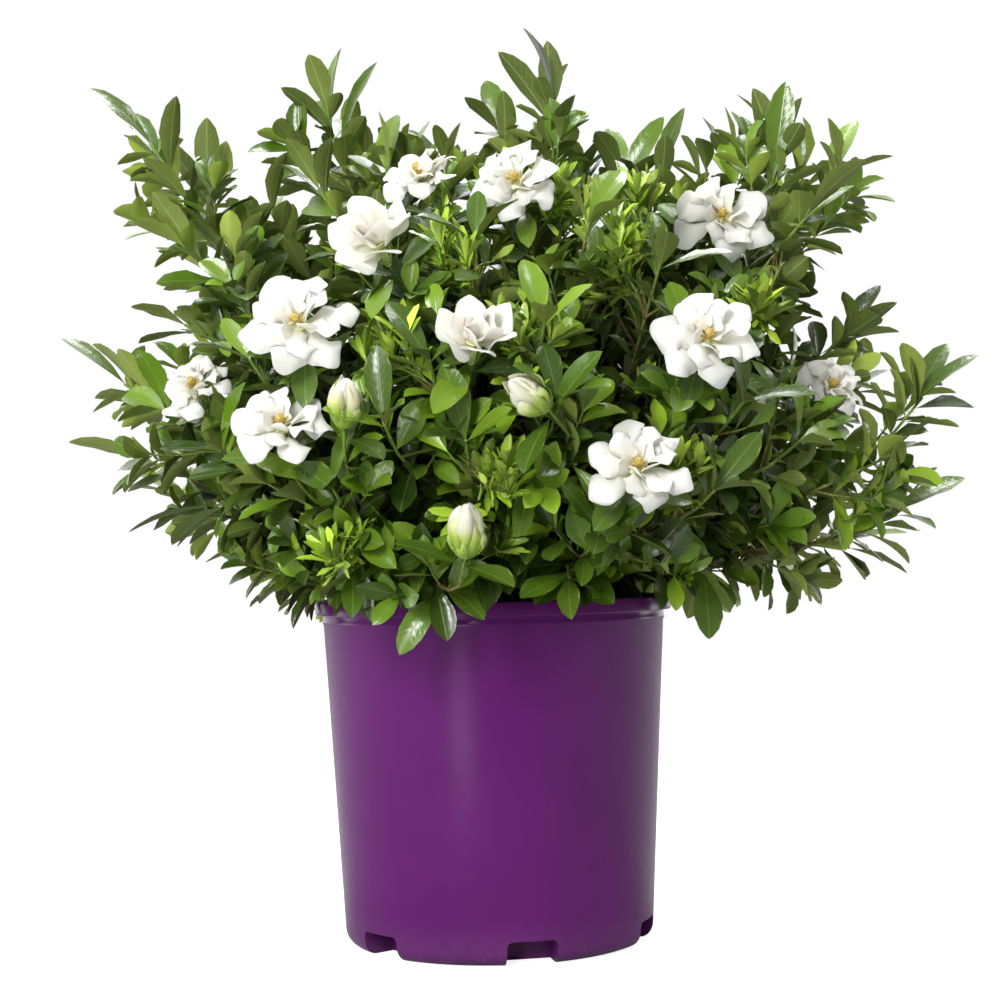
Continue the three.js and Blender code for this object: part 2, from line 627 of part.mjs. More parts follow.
// A bud of furled petals, drawn to a point and wound round its axis
function bud(bloom) {
  const length = bloom.across * BUD_SLENDERNESS;
  const shape = reshape(new THREE.SphereGeometry(1, 6, 6), (p) => {
    const t = (p.y + 1) / 2;
    const wind = 1.2 * t;
    const girth = (bloom.across / 2) * (1.12 - 0.35 * t);
    return vector(
      (p.x * Math.cos(wind) + p.z * Math.sin(wind)) * girth,
      p.y * length * 0.5,
      (p.z * Math.cos(wind) - p.x * Math.sin(wind)) * girth,
    );
  });
  return placed(shape, bloom);
}

// The plant, piece by piece

const grown = [];

// A leaf that would touch another node's solid is left out
function isClear(solid, owner) {
  return grown.every(({ name, solid: other }) => {
    if (name === owner) return true;
    const a = solid.boundingBox();
    const b = other.boundingBox();
    const apart = [0, 1, 2].some((k) => a.min[k] > b.max[k] + 1 || b.min[k] > a.max[k] + 1);
    return apart || solid.minGap(other, 1) > GAP;
  });
}

const canes = makeCanes();
const shoots = makeShoots();
joinShoots(canes, shoots);

const potSolid = pot();
const soilSolid = soil(canes.map(({ base }) => base));
grown.push({ name: "pot", solid: potSolid }, { name: "soil", solid: soilSolid });
addNode("pot", potSolid, "pot");
addNode("soil", soilSolid, "soil");

canes.forEach((cane, i) => {
  cane.name = `leafy_cane_${String(i + 1).padStart(2, "0")}`;
  const buried = { at: along(cane.base, UP, -PEG_DEPTH), heading: UP };
  cane.stems = [solidOf(stem([buried, ...cane.rings], CANE.foot, CANE.top, CANE.sides))];
  for (const { rings } of cane.shoots) {
    cane.stems.push(solidOf(stem(rings, SHOOT.foot, SHOOT.top, SHOOT.sides)));
  }
  grown.push(...cane.stems.map((solid) => ({ name: cane.name, solid })));
});

for (const { bloom } of shoots.filter((shoot) => shoot.bloom)) {
  const number = String(bloom.number).padStart(2, "0");
  if (bloom.form === "bud") {
    const solid = bud(bloom);
    grown.push({ name: `bud_${number}`, solid });
    addNode(`bud_${number}`, solid, "bud");
    continue;
  }
  const solid = corolla(bloom);
  grown.push({ name: `corolla_${number}`, solid });
  addNode(`corolla_${number}`, solid, "corolla");
  if (bloom.form === "open") addNode(`centre_${number}`, centre(bloom), "centre");
}

for (const cane of canes) {
  cane.leaves = [];
  for (const shoot of cane.shoots) {
    for (const leaf of leavesOf(shoot)) {
      if (isClear(leaf, cane.name)) {
        cane.leaves.push(leaf);
        grown.push({ name: cane.name, solid: leaf });
      }
    }
  }
  const whole = [...cane.stems, ...cane.leaves].reduce((a, b) => a.add(b));
  addNode(cane.name, whole, "foliage");
}

export default shrub;
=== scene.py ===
"""A potted gardenia in bloom: pot, potting mix, canes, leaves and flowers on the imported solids."""

import logging
import math
import random
from collections.abc import Callable, Iterable, Sequence
from dataclasses import dataclass, field
from enum import Enum
from typing import Any, ClassVar

import bmesh
import bpy
import numpy as np
from mathutils import Matrix, Quaternion, Vector, noise


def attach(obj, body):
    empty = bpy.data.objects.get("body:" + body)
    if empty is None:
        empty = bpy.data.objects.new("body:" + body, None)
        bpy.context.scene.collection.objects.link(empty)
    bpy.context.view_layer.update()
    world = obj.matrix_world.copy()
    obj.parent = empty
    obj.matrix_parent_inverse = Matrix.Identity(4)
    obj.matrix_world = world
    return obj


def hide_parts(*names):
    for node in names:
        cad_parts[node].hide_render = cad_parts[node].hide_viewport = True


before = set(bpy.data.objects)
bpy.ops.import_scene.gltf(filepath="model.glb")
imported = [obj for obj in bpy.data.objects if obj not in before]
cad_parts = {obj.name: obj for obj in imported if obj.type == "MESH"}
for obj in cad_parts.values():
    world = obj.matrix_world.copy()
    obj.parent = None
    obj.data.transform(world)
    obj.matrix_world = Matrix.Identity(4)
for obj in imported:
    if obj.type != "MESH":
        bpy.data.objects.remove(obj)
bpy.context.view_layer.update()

LOG = logging.getLogger("gardenia")

MM = 0.001
UP = Vector((0.0, 0.0, 1.0))
GOLDEN_TURN = 137.508
SHRUB_SEED = 20260

# The numbers of draw's hash: a mask of 32 bits, and odd numbers that mix the bits well
MASK = 0xFFFFFFFF
MIX_KEY, MIX_ONE, MIX_TWO = 0x9E3779B9, 0x85EBCA6B, 0xC2B2AE35

Spot = tuple[float, float]
Rings = list[tuple[Vector, Vector]]
Tree = bpy.types.NodeTree
Node = bpy.types.Node
Socket = bpy.types.NodeSocket
Inputs = dict[str | int, Any]


# Measures of the pot, the soil and the plant, in millimetres

POT_HEIGHT = 224.0
RIM_RADIUS = 118.0
SOIL_TOP = 205.0
SOIL_CROWN = 4.0
SOIL_RADIUS = 109.0
BASE_HEIGHT = SOIL_TOP + SOIL_CROWN + 1.0
CROWN = Vector((0.0, 0.0, SOIL_TOP - 5.0))
EYE = Vector((6.0, -1300.0, 255.0))
DOME_CENTRE = Vector((0.0, 0.0, 335.0))
DOME_RADII = Vector((225.0, 212.0, 188.0))
TUBE_LENGTH = 20.0
SEAT_GAP = 0.4
BUD_SLENDERNESS = 1.5
BUD_FURL = 0.92


class Form(Enum):
    """How far a flower has opened."""

    OPEN = "open"
    CUP = "cup"
    BUD = "bud"


@dataclass(frozen=True)
class Spray:
    """A shoot on the outline: its end and its leaves' tips in the front view, and its depth."""

    end: Spot
    depth: float
    tips: tuple[Spot, ...]


@dataclass(frozen=True)
class BloomPlan:
    """Where a flower is: by its spot in the front view, or by turn and rise on the far side."""

    form: Form
    across: float
    spot: Spot | None = None
    faces: tuple[float, float, float] = (0.0, 0.0, 1.0)
    lift: float = 0.0
    turn: float = 0.0
    rise: float = 0.0


@dataclass(frozen=True)
class CaneRing:
    """A ring of canes: how many, how steeply they rise, where they stand and how far they reach."""

    count: int
    turn: float
    rise: float
    foot: float
    reach: float


# From the middle outwards
CANE_RINGS = (
    CaneRing(4, 45, 74, 11, 165),
    CaneRing(6, 0, 44, 26, 135),
    CaneRing(6, 30, 15, 42, 118),
)

# The shoots of the outline, anticlockwise in the front view from its upper left
SPRAYS = (
    Spray((-223, 532), -30, ((-263, 570), (-238, 554), (-205, 564), (-241, 538), (-228, 523))),
    Spray((-187, 500), 70, ((-185, 549), (-172, 533), (-213, 533))),
    Spray((-201, 463), -90, ((-235, 480), (-224, 485), (-222, 500))),
    Spray((-177, 436), 110, ((-216, 434), (-221, 462), (-201, 437))),
    Spray((-202, 410), -110, ((-238, 423), (-233, 398), (-206, 420))),
    Spray((-243, 371), 90, ((-285, 403), (-264, 398), (-247, 395), (-263, 362))),
    Spray((-221, 355), -100, ((-248, 347), (-234, 394))),
    Spray((-227, 319), -40, ((-281, 333), (-248, 314))),
    Spray((-206, 294), 90, ((-245, 302), (-237, 312))),
    Spray((-184, 289), -70, ((-242, 272), (-213, 263))),
    Spray((-153, 262), 60, ((-191, 251), (-158, 234))),
    Spray((-120, 243), -60, ((-145, 230), (-135, 252))),
    Spray((-93, 244), -135, ((-94, 212), (-114, 225))),
    Spray((-35, 231), -142, ((-63, 187), (-12, 236))),
    Spray((-16, 249), -158, ((-5, 214), (-58, 240))),
    Spray((51, 236), -140, ((52, 208), (69, 221), (18, 223))),
    Spray((141, 238), -75, ((143, 193), (129, 207), (160, 215))),
    Spray((191, 245), 80, ((196, 223), (214, 222), (176, 224))),
    Spray((238, 252), 50, ((276, 234), (248, 232), (277, 261))),
    Spray((276, 278), -60, ((298, 304), (316, 297), (263, 305))),
    Spray((267, 313), -90, ((299, 337), (292, 319))),
    Spray((289, 351), -80, ((277, 388), (307, 387), (328, 379), (265, 350))),
    Spray((249, 360), 110, ((252, 392), (267, 370), (245, 334))),
    Spray((245, 397), 20, ((239, 423), (263, 427), (274, 415), (275, 395))),
    Spray((210, 450), 90, ((238, 452),)),
    Spray((216, 475), -60, ((256, 511), (248, 494), (194, 471))),
    Spray((238, 508), 40, ((231, 540), (250, 538))),
    Spray((215, 508), 100, ((214, 541), (207, 538))),
    Spray((200, 519), -20, ((170, 557), (181, 561), (203, 565), (214, 554))),
    Spray((168, 513), 60, ((162, 549), (147, 542))),
    Spray((149, 507), 20, ((145, 528), (132, 530))),
    Spray((119, 494), -70, ((122, 531), (135, 549))),
    Spray((94, 508), 90, ((75, 534), (84, 536), (121, 543))),
    Spray((51, 512), 120, ((63, 537),)),
    Spray((46, 556), 0, ((28, 605), (44, 596), (11, 589), (58, 580), (62, 559))),
    Spray((11, 536), 70, ((-12, 559), (3, 570), (14, 563))),
    Spray((-26, 514), 110, ((-32, 541), (-57, 538), (-15, 542))),
    Spray((-66, 514), -60, ((-70, 551), (-58, 548))),
    Spray((-104, 552), 30, ((-116, 590), (-94, 594), (-135, 568), (-70, 584))),
    Spray((-93, 525), 100, ((-87, 562), (-79, 545))),
    Spray((-111, 499), -80, ((-132, 534), (-139, 516))),
    Spray((-150, 459), 80, ((-157, 496), (-174, 493))),
)

# The ends of the leafy shoots that face the camera, in the front view
FACING_SPOTS: tuple[Spot, ...] = (
    (-7, 463), (70, 473), (38, 405), (-39, 383), (-70, 340), (-107, 301), (-16, 329), (47, 354),
    (171, 352), (149, 292), (207, 324), (72, 267), (-159, 386), (-180, 326), (116, 443),
)

# The flowers of the camera's side, and then those of the far side
BLOOMS = (
    BloomPlan(Form.OPEN, 58, (-43, 507), (-0.3, -0.55, 0.78), -10),
    BloomPlan(Form.CUP, 66, (-73, 464), (-0.3, -0.75, 0.6), 22),
    BloomPlan(Form.OPEN, 64, (21, 502), (-0.25, -0.9, 0.3), 0),
    BloomPlan(Form.OPEN, 74, (158, 475), (0.05, -0.95, 0.3), 12),
    BloomPlan(Form.OPEN, 72, (-127, 410), (-0.05, -0.93, 0.35), 20),
    BloomPlan(Form.CUP, 58, (-9, 397), (0.1, -0.8, 0.6), 16),
    BloomPlan(Form.OPEN, 70, (147, 394), (0.05, -0.92, 0.38), 20),
    BloomPlan(Form.OPEN, 56, (-196, 368), (-0.25, -0.75, 0.6), -25),
    BloomPlan(Form.OPEN, 66, (-139, 341), (0.02, -0.74, 0.67), 22),
    BloomPlan(Form.BUD, 20, (-96, 355), (0.1, -0.4, 0.9), 14),
    BloomPlan(Form.BUD, 20, (27, 358), (-0.72, -0.45, 0.52), 12),
    BloomPlan(Form.OPEN, 68, (98, 309), (0.08, -0.9, 0.42), 18),
    BloomPlan(Form.BUD, 21, (-17, 268), (0.05, -0.2, 0.97), 14),
    BloomPlan(Form.OPEN, 56, (228, 359), (0.35, -0.8, 0.5), -20),
    BloomPlan(Form.OPEN, 68, turn=131, rise=37),
    BloomPlan(Form.OPEN, 70, turn=158, rise=15),
    BloomPlan(Form.OPEN, 66, turn=204, rise=41),
    BloomPlan(Form.OPEN, 68, turn=226, rise=12),
    BloomPlan(Form.CUP, 60, turn=177, rise=62),
    BloomPlan(Form.BUD, 20, turn=134, rise=2),
)


# Measuring and placing


def draw(*keys: int) -> float:
    """Gives a number from 0 to 1 that depends only on the seed and the keys.

    Args:
        keys: Whole numbers that say what the number is for.

    Returns:
        A number from 0 to 1.
    """
    h = SHRUB_SEED
    for key in keys:
        h = (((h ^ (key + MIX_KEY)) & MASK) * MIX_ONE) & MASK
        h = ((h ^ (h >> 13)) * MIX_TWO) & MASK
        h ^= h >> 16
    return h / (MASK + 1)


def bearing(turn: float, rise: float) -> Vector:
    """Gives the direction at a turn from the front and a rise above the horizon, in degrees."""
    t, r = math.radians(turn), math.radians(rise)
    return Vector((math.sin(t) * math.cos(r), -math.cos(t) * math.cos(r), math.sin(r)))


def square_to(direction: Vector, axis: Vector) -> Vector:
    """Gives the part of a direction that is square to an axis, at unit length."""
    return (direction - axis * direction.dot(axis)).normalized()


def square_at(axis: Vector, turn: float, start: Vector = UP) -> Vector:
    """Gives the direction square to an axis at a turn from a start, in radians."""
    return Quaternion(axis, turn) @ square_to(start, axis)


def leaning(axis: Vector, out: Vector, spread: float) -> Vector:
    """Gives the direction that leans from an axis to a side by a spread, in radians."""
    return axis * math.cos(spread) + out * math.sin(spread)


def at_depth(spot: Spot, depth: float) -> Vector:
    """Gives the point that the eye sees at a spot, at a depth behind the pot's axis."""
    return EYE.lerp(Vector((spot[0], 0.0, spot[1])), 1 + depth / -EYE.y)


def on_dome(spot: Spot) -> Vector:
    """Gives the point of the canopy's dome that the eye sees at a spot.

    Args:
        spot: The spot in the front view.

    Returns:
        The point, or the sight line's nearest point to the dome where it misses.
    """
    sight = Vector((spot[0], 0.0, spot[1])) - EYE
    ray = Vector(s / r for s, r in zip(sight, DOME_RADII))
    start = Vector(s / r for s, r in zip(EYE - DOME_CENTRE, DOME_RADII))
    a, b = ray.length_squared, start.dot(ray)
    hit = max(b * b - a * (start.length_squared - 1), 0.0)
    return EYE + sight * ((-b - math.sqrt(hit)) / a)


def dome_at(turn: float, rise: float, share: float) -> Vector:
    """Gives the dome's point at a bearing, moved in or out by a share."""
    return DOME_CENTRE + bearing(turn, rise) * DOME_RADII * share


def dome_share(point: Vector) -> float:
    """Tells how far out a point is, as a share of the dome's radius there."""
    return Vector(p / r for p, r in zip(point - DOME_CENTRE, DOME_RADII)).length


class Bend:
    """A cubic Bezier curve that is measured along its length."""

    STEPS = 200

    def __init__(self, *points: Vector) -> None:
        """Measures the curve.

        Args:
            points: The four control points.
        """
        self.controls = [np.array(p) for p in points]
        self.shares = np.linspace(0.0, 1.0, self.STEPS + 1)
        path = np.array([self._blend(t) for t in self.shares])
        lengths = np.linalg.norm(np.diff(path, axis=0), axis=1)
        self.measures = np.concatenate([[0.0], np.cumsum(lengths)])
        self.length = float(self.measures[-1])

    def _blend(self, t: float) -> np.ndarray:
        """Gives the curve's point.

        Args:
            t: The curve's parameter, from 0 to 1.

        Returns:
            The point.
        """
        a, b, c, d = self.controls
        s = 1 - t
        return a * s**3 + b * (3 * s * s * t) + c * (3 * s * t * t) + d * t**3

    def _parameter(self, share: float) -> float:
        """Turns a share of the length into the curve's parameter."""
        return float(np.interp(share * self.length, self.measures, self.shares))

    def point(self, share: float) -> Vector:
        """Gives the point at a share of the length."""
        return Vector(self._blend(self._parameter(share)))

    def heading(self, share: float) -> Vector:
        """Gives the way the curve heads.

        Args:
            share: The share of the length.

        Returns:
            The direction, at unit length.
        """
        a, b, c, d = self.controls
        t = self._parameter(share)
        s = 1 - t
        return Vector((b - a) * s * s + (c - b) * 2 * s * t + (d - c) * t * t).normalized()

    def rings(self, steps: int) -> Rings:
        """Gives points and headings at equal steps along the curve."""
        return [(self.point(i / steps), self.heading(i / steps)) for i in range(steps + 1)]


def on_stem(rings: Rings, share: float) -> Vector:
    """Gives a point on a stem's straight stretches.

    Args:
        rings: The stem's points and headings.
        share: The share of the way along it.

    Returns:
        The point.
    """
    steps = len(rings) - 1
    i = min(int(share * steps), steps - 1)
    return rings[i][0].lerp(rings[i + 1][0], share * steps - i)


# The plan of the shrub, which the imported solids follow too


@dataclass
class Bloom:
    """A flower in its place."""

    form: Form
    across: float
    middle: Vector
    faces: Vector
    number: int
    is_veiled: bool


@dataclass
class Shoot:
    """A side shoot of a cane, with what it carries."""

    end: Vector
    heading: Vector | None = None
    tips: list[Vector] | None = None
    bloom: Bloom | None = None
    number: int = 0
    outward: Vector = field(default_factory=lambda: UP.copy())
    curve: Bend | None = None
    rings: Rings = field(default_factory=list)


@dataclass
class Cane:
    """A woody stem from the soil, with its shoots."""

    heading: Vector
    base: Vector
    curve: Bend
    rings: Rings
    shoots: list[Shoot] = field(default_factory=list)


@dataclass(frozen=True)
class ShrubPlan:
    """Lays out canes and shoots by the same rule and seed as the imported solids."""

    cane_rise: float = 0.36
    cane_ease: float = 0.3
    fork_lift: float = 22.0
    fork_low: float = 0.42
    fork_high: float = 0.99
    fork_follow: float = 0.5
    leaf_length: float = 50.0
    tip_room: float = 0.9
    least_away: float = 100.0
    tip_stagger: float = 0.7
    spray_outward: float = 0.6
    shoot_lift: float = 0.45
    shoot_step: float = 55.0
    shoot_leave: float = 0.28
    shoot_arrive: float = 0.3
    far_tries: int = 70
    far_first_turn: float = 92.0
    far_spread: float = 176.0
    far_lowest: float = -28.0
    far_highest: float = 72.0
    far_apart: float = 62.0
    far_share: float = 0.9
    far_share_more: float = 0.14
    far_bloom_share: float = 1.03
    far_bloom_lift: float = 0.35

    def canes(self) -> list[Cane]:
        """Makes the canes, with their shoots joined to them.

        Returns:
            The canes in the order of their nodes.
        """
        canes = [
            self._cane(ring, ring.turn + i * 360 / ring.count)
            for ring in CANE_RINGS
            for i in range(ring.count)
        ]
        for shoot in self._shoots():
            max(canes, key=lambda cane: cane.heading.dot(shoot.outward)).shoots.append(shoot)
        for cane in canes:
            self._join(cane)
        return canes

    def _cane(self, ring: CaneRing, turn: float) -> Cane:
        """Makes one cane.

        Args:
            ring: The ring that it belongs to.
            turn: Its turn from the front, in degrees.

        Returns:
            The cane, without shoots.
        """
        heading = bearing(turn, ring.rise)
        base = bearing(turn, 0) * ring.foot
        base.z = BASE_HEIGHT
        fork = CROWN + heading * ring.reach + UP * self.fork_lift
        rise = base + UP * ring.reach * self.cane_rise
        curve = Bend(base, rise, fork - heading * ring.reach * self.cane_ease, fork)
        return Cane(heading, base, curve, curve.rings(3))

    def _spray_shoot(self, spray: Spray) -> Shoot:
        """Makes a shoot of the outline, which points to its leaves' tips.

        Args:
            spray: Its place in the front view.

        Returns:
            The shoot.
        """
        end = at_depth(spray.end, spray.depth)
        tips = []
        for i, tip in enumerate(spray.tips):
            flat = (at_depth(tip, spray.depth) - end).length
            away = math.sqrt(max(self.leaf_length**2 * self.tip_room - flat**2, self.least_away))
            side = self.tip_stagger if i % 2 else -self.tip_stagger
            tips.append(at_depth(tip, spray.depth + away * side))
        middle = sum(tips, Vector((0, 0, 0))) / len(tips)
        outward = (end - CROWN).normalized()
        heading = ((middle - end).normalized() + outward * self.spray_outward).normalized()
        return Shoot(end, heading, tips)

    def _bloom_shoot(self, plan: BloomPlan, number: int) -> Shoot:
        """Makes a shoot that ends just under its flower's tube.

        Args:
            plan: The flower.
            number: The flower's number among the nodes.

        Returns:
            The shoot, with its flower.
        """
        if plan.spot:
            sight = (Vector((plan.spot[0], 0, plan.spot[1])) - EYE).normalized()
            middle = on_dome(plan.spot) - sight * plan.lift
            faces = Vector(plan.faces).normalized()
        else:
            middle = dome_at(plan.turn, plan.rise, self.far_bloom_share)
            faces = (bearing(plan.turn, plan.rise) + UP * self.far_bloom_lift).normalized()
        is_bud = plan.form is Form.BUD
        stalk = plan.across * BUD_SLENDERNESS * 0.5 if is_bud else TUBE_LENGTH
        bloom = Bloom(plan.form, plan.across, middle, faces, number, plan.lift < 0)
        return Shoot(middle - faces * (stalk + SEAT_GAP), faces.copy(), bloom=bloom)

    def _shoots(self) -> list[Shoot]:
        """Makes every shoot.

        Returns:
            The shoots, in the order that gives each its number.
        """
        shoots = [self._spray_shoot(spray) for spray in SPRAYS]
        shoots += [Shoot(on_dome(spot)) for spot in FACING_SPOTS]
        shoots += [self._bloom_shoot(plan, i + 1) for i, plan in enumerate(BLOOMS)]
        for i in range(self.far_tries):
            turn = self.far_first_turn + (i * GOLDEN_TURN) % self.far_spread
            climb = (self.far_highest - self.far_lowest) * (i + 0.5) / self.far_tries
            share = self.far_share + self.far_share_more * draw(1, i)
            end = dome_at(turn, self.far_lowest + climb, share)
            if all((other.end - end).length > self.far_apart for other in shoots):
                shoots.append(Shoot(end))
        for number, shoot in enumerate(shoots):
            shoot.number = number
            shoot.outward = (shoot.end - CROWN).normalized()
            if shoot.heading is None:
                shoot.heading = (shoot.outward + UP * self.shoot_lift).normalized()
        return shoots

    def _join(self, cane: Cane) -> None:
        """Bends each shoot from its fork to its end, lowest first.

        Args:
            cane: The cane that the shoots belong to.
        """
        cane.shoots.sort(key=lambda shoot: shoot.end.z)
        for i, shoot in enumerate(cane.shoots):
            share = (i + 0.9) / len(cane.shoots)
            t = self.fork_low + (self.fork_high - self.fork_low) * share
            start = on_stem(cane.rings, t)
            span = (shoot.end - start).length
            straight = (shoot.end - start).normalized()
            leaving = (cane.curve.heading(t) * self.fork_follow + straight).normalized()
            leave = start + leaving * span * self.shoot_leave
            arrive = shoot.end - shoot.heading * span * self.shoot_arrive
            shoot.curve = Bend(start, leave, arrive, shoot.end)
            steps = min(max(round(shoot.curve.length / self.shoot_step), 1), 3)
            shoot.rings = shoot.curve.rings(steps)


# Materials


def to_linear(code: str) -> tuple[float, float, float, float]:
    """Turns an sRGB hex colour to linear values.

    Args:
        code: Six hex digits.

    Returns:
        Red, green, blue and an alpha of 1.
    """
    channels = [int(code[i : i + 2], 16) / 255 for i in (0, 2, 4)]
    linear = [c / 12.92 if c <= 0.04045 else ((c + 0.055) / 1.055) ** 2.4 for c in channels]
    return (linear[0], linear[1], linear[2], 1.0)


def scale_of(size: float) -> float:
    """Gives the scale of a pattern whose real size is in millimetres."""
    return 1 / (size * MM)


def feed(tree: Tree, node: Node, inputs: Inputs) -> None:
    """Sets or links a node's inputs.

    Args:
        tree: The material's node tree.
        node: The node.
        inputs: For each input socket, a value, an output or a node, whose first output it is.
    """
    for name, value in inputs.items():
        if isinstance(value, Node):
            value = value.outputs[0]
        if isinstance(value, Socket):
            tree.links.new(value, node.inputs[name])
        else:
            node.inputs[name].default_value = value


def add_node(
    tree: Tree, kind: str, settings: Inputs | None = None, inputs: Inputs | None = None
) -> Node:
    """Adds a node with its settings and links.

    Args:
        tree: The material's node tree.
        kind: The node's type, without the words ShaderNode.
        settings: Values of the node's own properties. Stops are (place, hex colour) of a ramp.
        inputs: What each input socket is set to or linked to.

    Returns:
        The new node.
    """
    node = tree.nodes.new("ShaderNode" + kind)
    for name, value in (settings or {}).items():
        if name != "stops":
            setattr(node, name, value)
            continue
        ramp = node.color_ramp.elements
        while len(ramp) < len(value):
            ramp.new(1.0)
        for stop, (place, code) in zip(ramp, value):
            stop.position = place
            stop.color = to_linear(code)
    feed(tree, node, inputs or {})
    return node


@dataclass(frozen=True)
class Finish:
    """What one surface is made of. A subclass lays out its pattern, with sizes in millimetres."""

    name: str
    roughness: float
    ior: float = 1.45
    shine: float = 0.5

    def build(self) -> bpy.types.Material:
        """Makes the material.

        Returns:
            The material, with its surface linked.
        """
        material = bpy.data.materials.new(self.name)
        material.use_nodes = True
        tree = material.node_tree
        tree.nodes.clear()
        look = {"Roughness": self.roughness, "IOR": self.ior, "Specular IOR Level": self.shine}
        surface = add_node(tree, "BsdfPrincipled", {}, look)
        add_node(tree, "OutputMaterial", {}, {0: surface})
        feed(tree, surface, self.pattern(tree))
        return material

    def pattern(self, tree: Tree) -> Inputs:
        """Gives the surface its colours and relief.

        Args:
            tree: The material's node tree.

        Returns:
            The shader's inputs.
        """
        raise NotImplementedError


@dataclass(frozen=True)
class MouldedPolypropylene(Finish):
    """Injection moulded polypropylene: an even purple with a satin skin and soft, wide gloss."""

    main: str = "5d1a65"
    deep: str = "581860"
    dust: str = "7d5a80"
    drift: float = 60.0
    dust_height: float = 32.0
    dust_share: float = 0.35
    speck: float = 4.0
    rub: float = 28.0
    rub_range: float = 0.03
    grain: float = 0.9
    grain_height: float = 0.1

    def pattern(self, tree: Tree) -> Inputs:
        """Lays out slow drifts of colour, dust at the foot and a fine moulded grain.

        Args:
            tree: The material's node tree.

        Returns:
            The shader's inputs.
        """
        place = add_node(tree, "TexCoord").outputs["Object"]
        sizes = ((self.drift, 2.0), (self.speck, 4.0), (self.rub, 2.0), (self.grain, 2.0))
        drift, specks, rub, grain = (
            add_node(
                tree, "TexNoise", {}, {"Vector": place, "Scale": scale_of(size), "Detail": detail}
            )
            for size, detail in sizes
        )
        tone = add_node(
            tree, "ValToRGB", {"stops": ((0.35, self.deep), (0.65, self.main))}, {0: drift}
        )
        height = add_node(tree, "SeparateXYZ", {}, {0: place})
        low = add_node(
            tree, "MapRange", {"interpolation_type": "SMOOTHSTEP"},
            {
                "Value": height.outputs["Z"], "From Min": self.dust_height * MM, "From Max": 0.0,
                "To Max": self.dust_share,
            },
        )
        dusty = add_node(tree, "Math", {"operation": "MULTIPLY"}, {0: low, 1: specks})
        colour = add_node(
            tree, "Mix", {"data_type": "RGBA"}, {0: dusty, 6: tone, 7: to_linear(self.dust)}
        )
        rough = add_node(
            tree, "MapRange", {},
            {
                "Value": rub, "To Min": self.roughness - self.rub_range,
                "To Max": self.roughness + self.rub_range,
            },
        )
        relief = add_node(
            tree, "Bump", {},
            {"Strength": 0.05, "Distance": self.grain_height * MM, "Height": grain},
        )
        return {"Base Color": colour.outputs[2], "Roughness": rough, "Normal": relief}


@dataclass(frozen=True)
class PottingBark(Finish):
    """Composted bark and peat: crumbs of dark brown with paler fibres, quite without gloss."""

    crumb: float = 3.5
    damp: float = 14.0
    crumb_height: float = 1.2

    def pattern(self, tree: Tree) -> Inputs:
        """Lays out crumbs of bark about as wide as real ones.

        Args:
            tree: The material's node tree.

        Returns:
            The shader's inputs.
        """
        place = add_node(tree, "TexCoord").outputs["Object"]
        crumbs = add_node(tree, "TexVoronoi", {}, {"Vector": place, "Scale": scale_of(self.crumb)})
        damp = add_node(
            tree, "TexNoise", {}, {"Vector": place, "Scale": scale_of(self.damp), "Detail": 5.0}
        )
        mixed = add_node(
            tree, "Mix", {"data_type": "RGBA"},
            {0: 0.5, 6: crumbs.outputs["Color"], 7: damp.outputs[1]},
        )
        tone = add_node(
            tree, "ValToRGB",
            {"stops": ((0.2, "17100b"), (0.45, "2d2018"), (0.6, "46331f"), (0.8, "6a5038"))},
            {0: mixed.outputs[2]},
        )
        relief = add_node(
            tree, "Bump", {},
            {"Strength": 0.6, "Distance": self.crumb_height * MM, "Height": crumbs},
        )
        return {"Base Color": tone, "Normal": relief}


@dataclass(frozen=True)
class StemBark(Finish):
    """Gardenia bark: brown and finely fissured on old canes, green on this year's wood."""

    fissure: float = 1.6
    fissure_depth: float = 0.3

    def pattern(self, tree: Tree) -> Inputs:
        """Turns from brown to green by the youth attribute, with fissures along the stem.

        Args:
            tree: The material's node tree.

        Returns:
            The shader's inputs.
        """
        place = add_node(tree, "TexCoord").outputs["Object"]
        youth = add_node(tree, "Attribute", {"attribute_name": "youth"}).outputs["Fac"]
        squeezed = add_node(tree, "Mapping", {}, {"Vector": place, "Scale": (1.0, 1.0, 0.25)})
        fissures = add_node(
            tree, "TexNoise", {},
            {"Vector": squeezed, "Scale": scale_of(self.fissure), "Detail": 5.0},
        )
        old = add_node(
            tree, "ValToRGB", {"stops": ((0.3, "3d2418"), (0.5, "6b4330"), (0.72, "96705a"))},
            {0: fissures},
        )
        young = add_node(
            tree, "ValToRGB", {"stops": ((0.3, "55702c"), (0.7, "83a03f"))}, {0: fissures}
        )
        turn = add_node(tree, "MapRange", {}, {"Value": youth, "From Min": 0.35, "From Max": 0.75})
        colour = add_node(tree, "Mix", {"data_type": "RGBA"}, {0: turn, 6: old, 7: young})
        relief = add_node(
            tree, "Bump", {},
            {"Strength": 0.4, "Distance": self.fissure_depth * MM, "Height": fissures},
        )
        return {"Base Color": colour.outputs[2], "Normal": relief}


